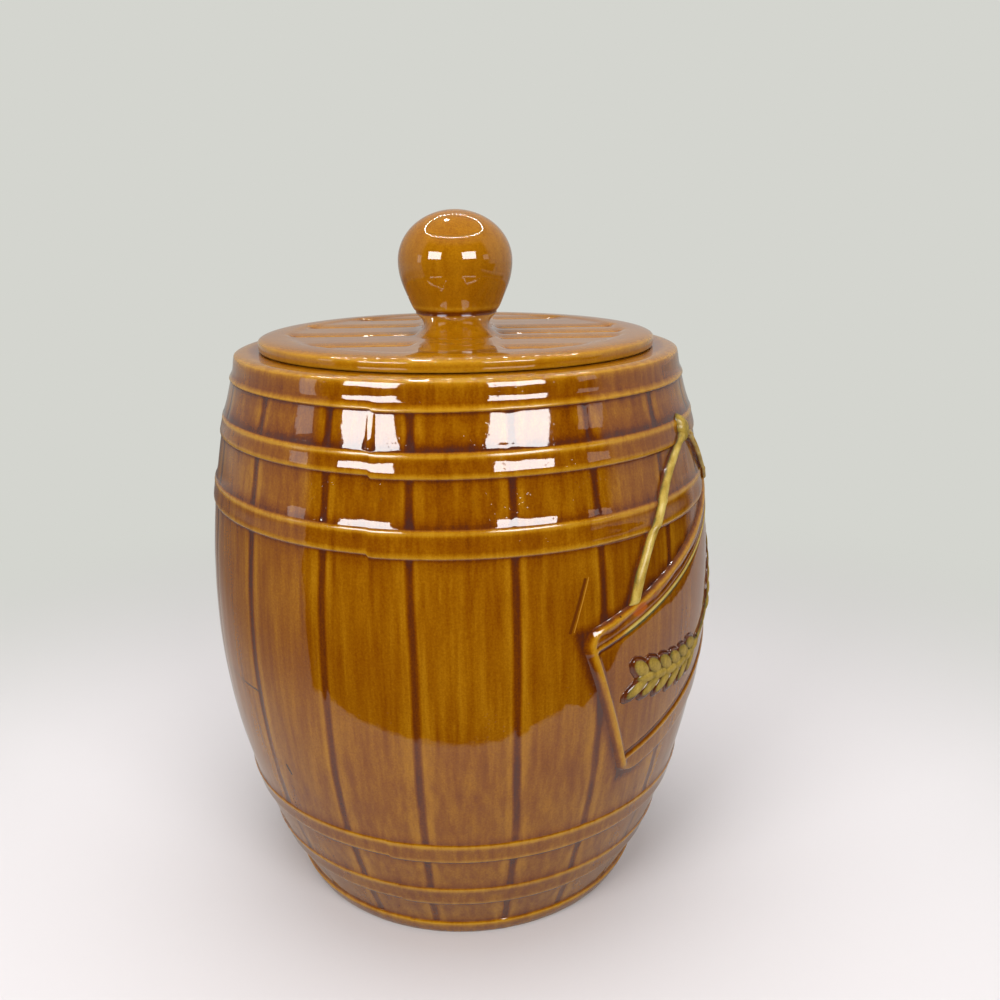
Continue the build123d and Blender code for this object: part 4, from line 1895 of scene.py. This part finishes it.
    def plank_recipe(self, glaze: Material) -> Recipe:
        """Tree that sinks the head's field and cuts its planks apart.

        Args:
            glaze: Finish of its faces.

        Returns:
            The recipe.
        """
        recipe = Recipe("Barrel Head Planks", {
            "Head Radius": self.head_radius * MM, "Half Span": self.head_half_span * MM,
            "Head Sink": self.head_sink * MM, "Batten Half Width": self.batten_width / 2 * MM,
            "Joint Width": self.joint_width * MM, "Joint Depth": self.joint_depth * MM,
            "Plank Crown": 0.60 * MM, "Crown Width": 7.0 * MM, "Grain Depth": 0.06 * MM,
            "Grain Width": 3.0 * MM, "Border": 3.6 * MM, "Hand Wave": 0.22 * MM,
            "Wave Size": 16.0 * MM, "Seed": 9})
        tree, size = recipe.tree, recipe.size
        place = tree.take("GeometryNodeInputPosition", "Position")
        x, y, _ = tree.split(place)
        inside = ((size("Head Radius") - (x * x + y * y).root())
                  .least(size("Half Span") - abs(y)).least(abs(x) - size("Batten Half Width")))
        field = inside.ease(-0.4 * MM, size("Border"))
        joint = self._to_joint(tree, x, y)
        cut = joint.ease(size("Joint Width") * 0.5, 0.0) * size("Joint Depth")
        crown = joint.ease(size("Crown Width"), 0.0) * size("Plank Crown")
        grain = recipe.noise(tree.vector("MULTIPLY", place, (0.08, 1.0, 1.0)), "Grain Width",
                             2.0, 0.5)
        sunk = cut + crown + size("Head Sink") + grain * size("Grain Depth") * 2.0
        wave = recipe.noise(place, "Wave Size", 1.0, 0.4, 3.0) * size("Hand Wave")
        height = (wave - sunk * field) * recipe.attribute("planks")
        return recipe.move(tree.xyz(0.0, 0.0, height), glaze)

    def _to_joint(self, tree: Tree, x: Value, y: Value) -> Value:
        """Distance to the nearest joint between planks, which differ on the two sides.

        Args:
            tree: Tree that it is grown in.
            x: Place to the right, in metres.
            y: Place to the back, in metres.

        Returns:
            The distance.
        """
        sides = []
        for joints in (self.left_joints, self.right_joints):
            near = abs(y - joints[0] * MM)
            for place in joints[1:]:
                near = near.least(abs(y - place * MM))
            sides.append(near)
        right = tree.math("GREATER_THAN", x, 0.0)
        return sides[0] + right * (sides[1] - sides[0])

    def glaze_over(self, mesh: Mesh) -> None:
        """Stores the thickness of the glaze."""
        settled = settle_glaze(mesh)
        self.store_glaze(mesh, 0.5 * settled + read_mark(mesh, "pool") * 0.85, settled)


# ------------------------------------------------------------------ the studio
@dataclass(frozen=True)
class Softbox:
    """A far rectangular lamp, given by where it is seen from the object."""

    name: str
    azimuth: float
    elevation: float
    spread: tuple[float, float]     # degrees across and up
    radiance: float
    distance: float = 1.6

    def build(self, centre: Vector) -> None:
        """Sets the lamp at its distance, facing the centre.

        Args:
            centre: What the lamp faces.
        """
        turn, rise = math.radians(self.azimuth), math.radians(self.elevation)
        away = Vector((math.sin(turn) * math.cos(rise), -math.cos(turn) * math.cos(rise),
                       math.sin(rise)))
        lamp = bpy.data.lights.new(self.name, "AREA")
        lamp.shape = "RECTANGLE"
        lamp.size, lamp.size_y = (2 * self.distance * math.tan(math.radians(angle) / 2)
                                  for angle in self.spread)
        lamp.energy = self.radiance * math.pi * lamp.size * lamp.size_y
        made = add_object(self.name, lamp)
        made.location = centre + away * self.distance
        made.rotation_euler = away.to_track_quat("Z", "Y").to_euler()
        made.visible_camera = False


@dataclass
class Studio:
    """Pale floor and surroundings, two soft lamps, a ring of small lights, the camera."""

    camera_place: tuple[float, float, float] = (0.0, -0.36774, 0.25384)
    pitch: float = 0.2864           # down, in radians
    yaw: float = 0.0415             # towards +X
    roll: float = -0.0114
    lens: float = 35.48
    sensor: float = 36.0
    pale: Colour = (212, 213, 207)
    floor_half: float = 4.0
    floor_colour: Colour = (220, 216, 217)
    floor_glint: Colour = (226, 222, 219)       # as the glaze mirrors it
    wall_level: float = 0.62
    dark_level: float = 0.012
    roof_level: float = 0.30
    open_azimuth: float = 72.0      # the dark room shows this far to each side of the front
    floor_front: float = -0.203     # where the pale floor ends, as the glaze mirrors it
    floor_bow: tuple[float, float] = (1.1, 0.23)    # how that edge bends back, left and right
    floor_step: tuple[float, float, float] = (0.150, 0.178, 0.034)      # from x, to x, back by
    floor_slant: tuple[float, float, float] = (0.236, -0.344, -0.138)   # -x, slope and y at left
    floor_notch: tuple[float, float] = (-10.0, -0.163)      # slope and y at the middle
    floor_mirrored: float = 0.72    # how bright the glaze mirrors the floor
    floor_bounce: Colour = (150, 146, 142)      # what the floor lights the object with
    wall_mirrored: float = 0.75
    side_screen: tuple[float, float, float, float] = (0.42, -0.32, 0.30, 0.13)   # x, y, y, z
    ring_place: tuple[float, float, float] = (-0.020, 0.139, 0.90)
    ring_radius: float = 0.496
    ring_lights: int = 64
    ring_light: float = 0.0075      # radius of one of them
    ring_radiance: float = 170.0
    spot_place: tuple[float, float, float] = (-0.147, 0.430, 1.20)
    spot_radius: float = 0.045
    top_place: float = 0.70
    lamps: tuple[Softbox, ...] = (
        Softbox("left_softbox", -42.0, 17.6, (26.0, 17.0), 16.0),
        Softbox("right_softbox", 28.5, 18.2, (27.0, 17.0), 16.0),
        Softbox("left_glimmer", -75.5, 8.0, (9.0, 14.0), 1.6),
        Softbox("right_glimmer", 64.0, 11.0, (12.0, 10.0), 1.3))
    top_radiance: float = 3.9
    top_size: float = 0.55

    def build(self) -> None:
        """Sets up everything that isn't part of the object."""
        for lamp in self.lamps:
            lamp.build(Vector((0, 0, 0.2)))
        self.build_world()
        self.build_floor()
        self.build_side_screen()
        self.build_ring()
        self.build_top_light()
        self.build_camera()
        bpy.context.scene.view_settings.view_transform = "Standard"

    def build_camera(self) -> None:
        """Stands the camera in front, looking slightly down."""
        (cp, sp), (cy, sy), (cr, sr) = ((math.cos(angle), math.sin(angle)) for angle in
                                        (self.pitch, self.yaw, self.roll))
        ahead = Vector((sy * cp, cy * cp, -sp))
        right, up = Vector((cy, -sy, 0)), Vector((sy * sp, cy * sp, cp))
        turn = Matrix((right * cr + up * sr, up * cr - right * sr, -ahead)).transposed()
        camera = add_object("camera", bpy.data.cameras.new("camera"))
        camera.data.lens = self.lens
        camera.data.sensor_width = self.sensor
        camera.data.clip_start = 0.01
        camera.matrix_world = Matrix.Translation(self.camera_place) @ turn.to_4x4()
        bpy.context.scene.camera = camera

    def build_world(self) -> None:
        """Pale surroundings, with a dark room in front that only shows in the glaze."""
        world = bpy.data.worlds.new("surroundings")
        bpy.context.scene.world = world
        world.use_nodes = True
        world.node_tree.nodes.clear()
        tree = Tree(world.node_tree)
        x, y, z = tree.split(tree.place("Generated"))
        edge = math.cos(math.radians(self.open_azimuth))
        dark = ((y * -1.0) / (x * x + y * y).root().most(0.001)).ease(edge - 0.10, edge + 0.10)
        share = x.ease(-0.7, 0.7) * 0.2 + (self.wall_mirrored - 0.1)
        wall = (tree.ray("Glossy") * (share - 1.0) + 1.0) * self.wall_level
        level = dark * (self.dark_level - wall) + wall
        level = level + z.ease(0.62, 0.80) * (self.roof_level - level)
        around = tree.take("ShaderNodeBackground", 0,
                           {"Color": (1.0, 0.985, 0.965, 1.0), "Strength": level})
        backdrop = tree.take("ShaderNodeBackground", 0, {"Color": linear(self.pale)})
        seen = tree.ray("Camera").most(tree.ray("Transmission"))
        tree.end(tree.blend(seen, around, backdrop), "World")

    def build_floor(self) -> None:
        """A wide pale floor that melts into the backdrop away from the object."""
        made, tree = new_material("floor")
        x, y, _ = tree.split(tree.place())
        seen, mirrored = tree.ray("Camera"), tree.ray("Glossy")
        reach = (x * x + y * y).root()
        melt = reach.ease(0.16, 0.50) * seen + reach.ease(0.8, 1.6) * mirrored
        left, right = x.least(0.0), x.most(0.0)
        (bow_left, bow_right), (start, end, back) = self.floor_bow, self.floor_step
        (corner, slope, side), (fall, notch) = self.floor_slant, self.floor_notch
        edge = ((left * left * bow_left + right * right * bow_right
                 + x.ease(start, end) * back + self.floor_front)
                .least((x * -1.0 - corner) * slope + side).least((x * fall).most(0.0) + notch))
        gone = (y - edge).ease(0.004, -0.004) * mirrored
        shade = tree.mix(seen, linear(self.floor_bounce), linear(self.floor_colour))
        bright = tree.vector("SCALE", [c * self.floor_mirrored for c in
                                       linear(self.floor_glint)[:3]],
                             x.ease(-0.40, -0.12) * 0.55 + 0.45)
        sheet = tree.take("ShaderNodeBsdfDiffuse", 0,
                          {"Color": tree.mix(mirrored, shade, bright)})
        backdrop = tree.take("ShaderNodeEmission", 0, {"Color": linear(self.pale),
                                                       "Strength": 1.0 - mirrored * 0.32})
        room = tree.take("ShaderNodeEmission", 0, {"Strength": self.dark_level})
        tree.end(tree.blend(gone, tree.blend(melt, sheet, backdrop), room))
        self.sheet(made, [[(x * self.floor_half, y * self.floor_half, 0.0)
                           for x, y in ((-1, -1), (1, -1), (1, 1), (-1, 1))]])

    def sheet(self, material: Material, outlines: list[list], mirrored: bool = False) -> None:
        """Adds flat faces of one material as a piece of the studio.

        Args:
            material: Material of the faces, whose name the piece takes.
            outlines: Corners of each face, in metres.
            mirrored: Whether only the glaze mirrors it, and it throws nothing.
        """
        mesh, size = bpy.data.meshes.new(material.name), len(outlines[0])
        mesh.from_pydata([corner for outline in outlines for corner in outline], [],
                         np.arange(len(outlines) * size).reshape(-1, size).tolist())
        mesh.materials.append(material)
        made = add_object(material.name, mesh)
        if mirrored:
            made.visible_camera = made.visible_diffuse = made.visible_shadow = False

    def build_side_screen(self) -> None:
        """The dark foot of the side wall, which only the glaze mirrors."""
        x, low, high, top = self.side_screen
        made, tree = new_material("side_screen")
        _, y, z = tree.split(tree.place())
        pale = z.ease(0.65 * top, top).most(y.ease(0.5 * high, high))
        tree.end(tree.take("ShaderNodeEmission", 0, {
            "Strength": pale * (self.wall_level * self.wall_mirrored) + self.dark_level}))
        self.sheet(made, [[(x, low, 0), (x, high, 0), (x, high, top), (x, low, top)]],
                   mirrored=True)

    def build_top_light(self) -> None:
        """The light that the ring overhead throws, as one soft disc."""
        lamp = bpy.data.lights.new("top_light", "AREA")
        lamp.shape, lamp.size = "DISK", self.top_size
        lamp.energy = self.top_radiance * math.pi * math.pi * self.top_size**2 / 4
        made = add_object("top_light", lamp)
        made.location = (0.0, 0.0, self.top_place)
        made.visible_camera = made.visible_glossy = False

    def build_ring(self) -> None:
        """The ring of small lights overhead, which only the glaze mirrors."""
        spots = [(Vector(self.spot_place), self.spot_radius)]
        for light in range(self.ring_lights):
            turn = 2 * math.pi * light / self.ring_lights
            spots.append((Vector(self.ring_place) + Vector((math.sin(turn), math.cos(turn), 0))
                          * self.ring_radius, self.ring_light))
        sides = [Vector((math.cos(angle), -math.sin(angle), 0))
                 for angle in (math.pi * side / 3 for side in range(6))]
        made, tree = new_material("light_ring")
        tree.end(tree.take("ShaderNodeEmission", 0, {"Strength": self.ring_radiance}))
        self.sheet(made, [[centre + side * radius for side in sides]
                          for centre, radius in spots], mirrored=True)


# ------------------------------------------------------------------ all together
ROPE_LEFT = np.array([(-6.5, 65.5), (-10.6, 62.3), (-20.6, 55.8), (-25.3, 50.5),
                      (-29.3, 45.1), (-31.5, 41.3), (-36.1, 35.7), (-39.2, 30.6),
                      (-42.1, 24.9), (-44.4, 19.1), (-45.6, 14.6)])
ROPE_RIGHT = np.array([(-6.5, 65.5), (2.2, 60.8), (11.5, 52.3), (18.6, 46.0), (24.6, 40.4)])

# The first two draw an incised crack in colour alone: a band of painted shade on its left and a
# line of painted highlight on its right. The last two are dark defects in the glaze.
FLAWS_AND_CRACK_LIGHT = (GlazeStroke((24.2, 144.0), (20.7, 127.8), 0.85, (92, 44, 6)),
         GlazeStroke((25.0, 144.4), (21.5, 127.6), 0.24, (172, 120, 36)),
         GlazeStroke((-65.0, 97.8), (-47.5, 97.9), 0.55, (74, 42, 22)),
         GlazeStroke((-43.5, 71.4), (-42.5, 68.4), 0.75, (48, 24, 14)))


def main() -> None:
    """Builds every piece in order, then the studio."""
    logging.basicConfig(level=logging.INFO)
    jar_low, jar_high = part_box("jar_body")
    _, lid_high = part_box("lid")
    glaze = GlazeFinish("amber_glaze", flaws_and_crack_light=FLAWS_AND_CRACK_LIGHT).material()
    lid_glaze = GlazeFinish("lid_amber_glaze", bias=-0.20, streak_strength=0.30,
                            wave_height=0.004 * MM, dimple_height=0.0012 * MM,
                            ripple_height=0.0004 * MM, hole_depth=0.0,
                            gloss=0.022).material()
    bare = BisqueFinish("bare_clay").material()
    barrel = BarrelForm(belly_radius=-jar_low.x / MM, rim_height=jar_high.z / MM)
    form = SignForm(barrel)
    sign = Sign(form)
    pieces = [Jar(barrel, form, [ROPE_LEFT, ROPE_RIGHT]).build(glaze, bare),
              sign.build(glaze),
              Strand(form, "rope_left", ROPE_LEFT).build(glaze),
              Strand(form, "rope_right", ROPE_RIGHT, paint=0.55).build(glaze),
              Nail(form).build(glaze),
              WheatEar(sign, "wheat_left", (8.0, -8.0), (-41.0, 3.0)).build(glaze),
              WheatEar(sign, "wheat_right", (-8.0, -8.0), (41.0, 3.0), bend=-5.0).build(glaze),
              Lid(rim_height=barrel.rim_height, radius=lid_high.x / MM,
                  top_height=lid_high.z / MM).build(lid_glaze, bare)]
    for piece in pieces:
        log.info("%s: %d faces", piece.name, len(piece.data.polygons))
    Studio().build()


if __name__ == "__main__":
    main()
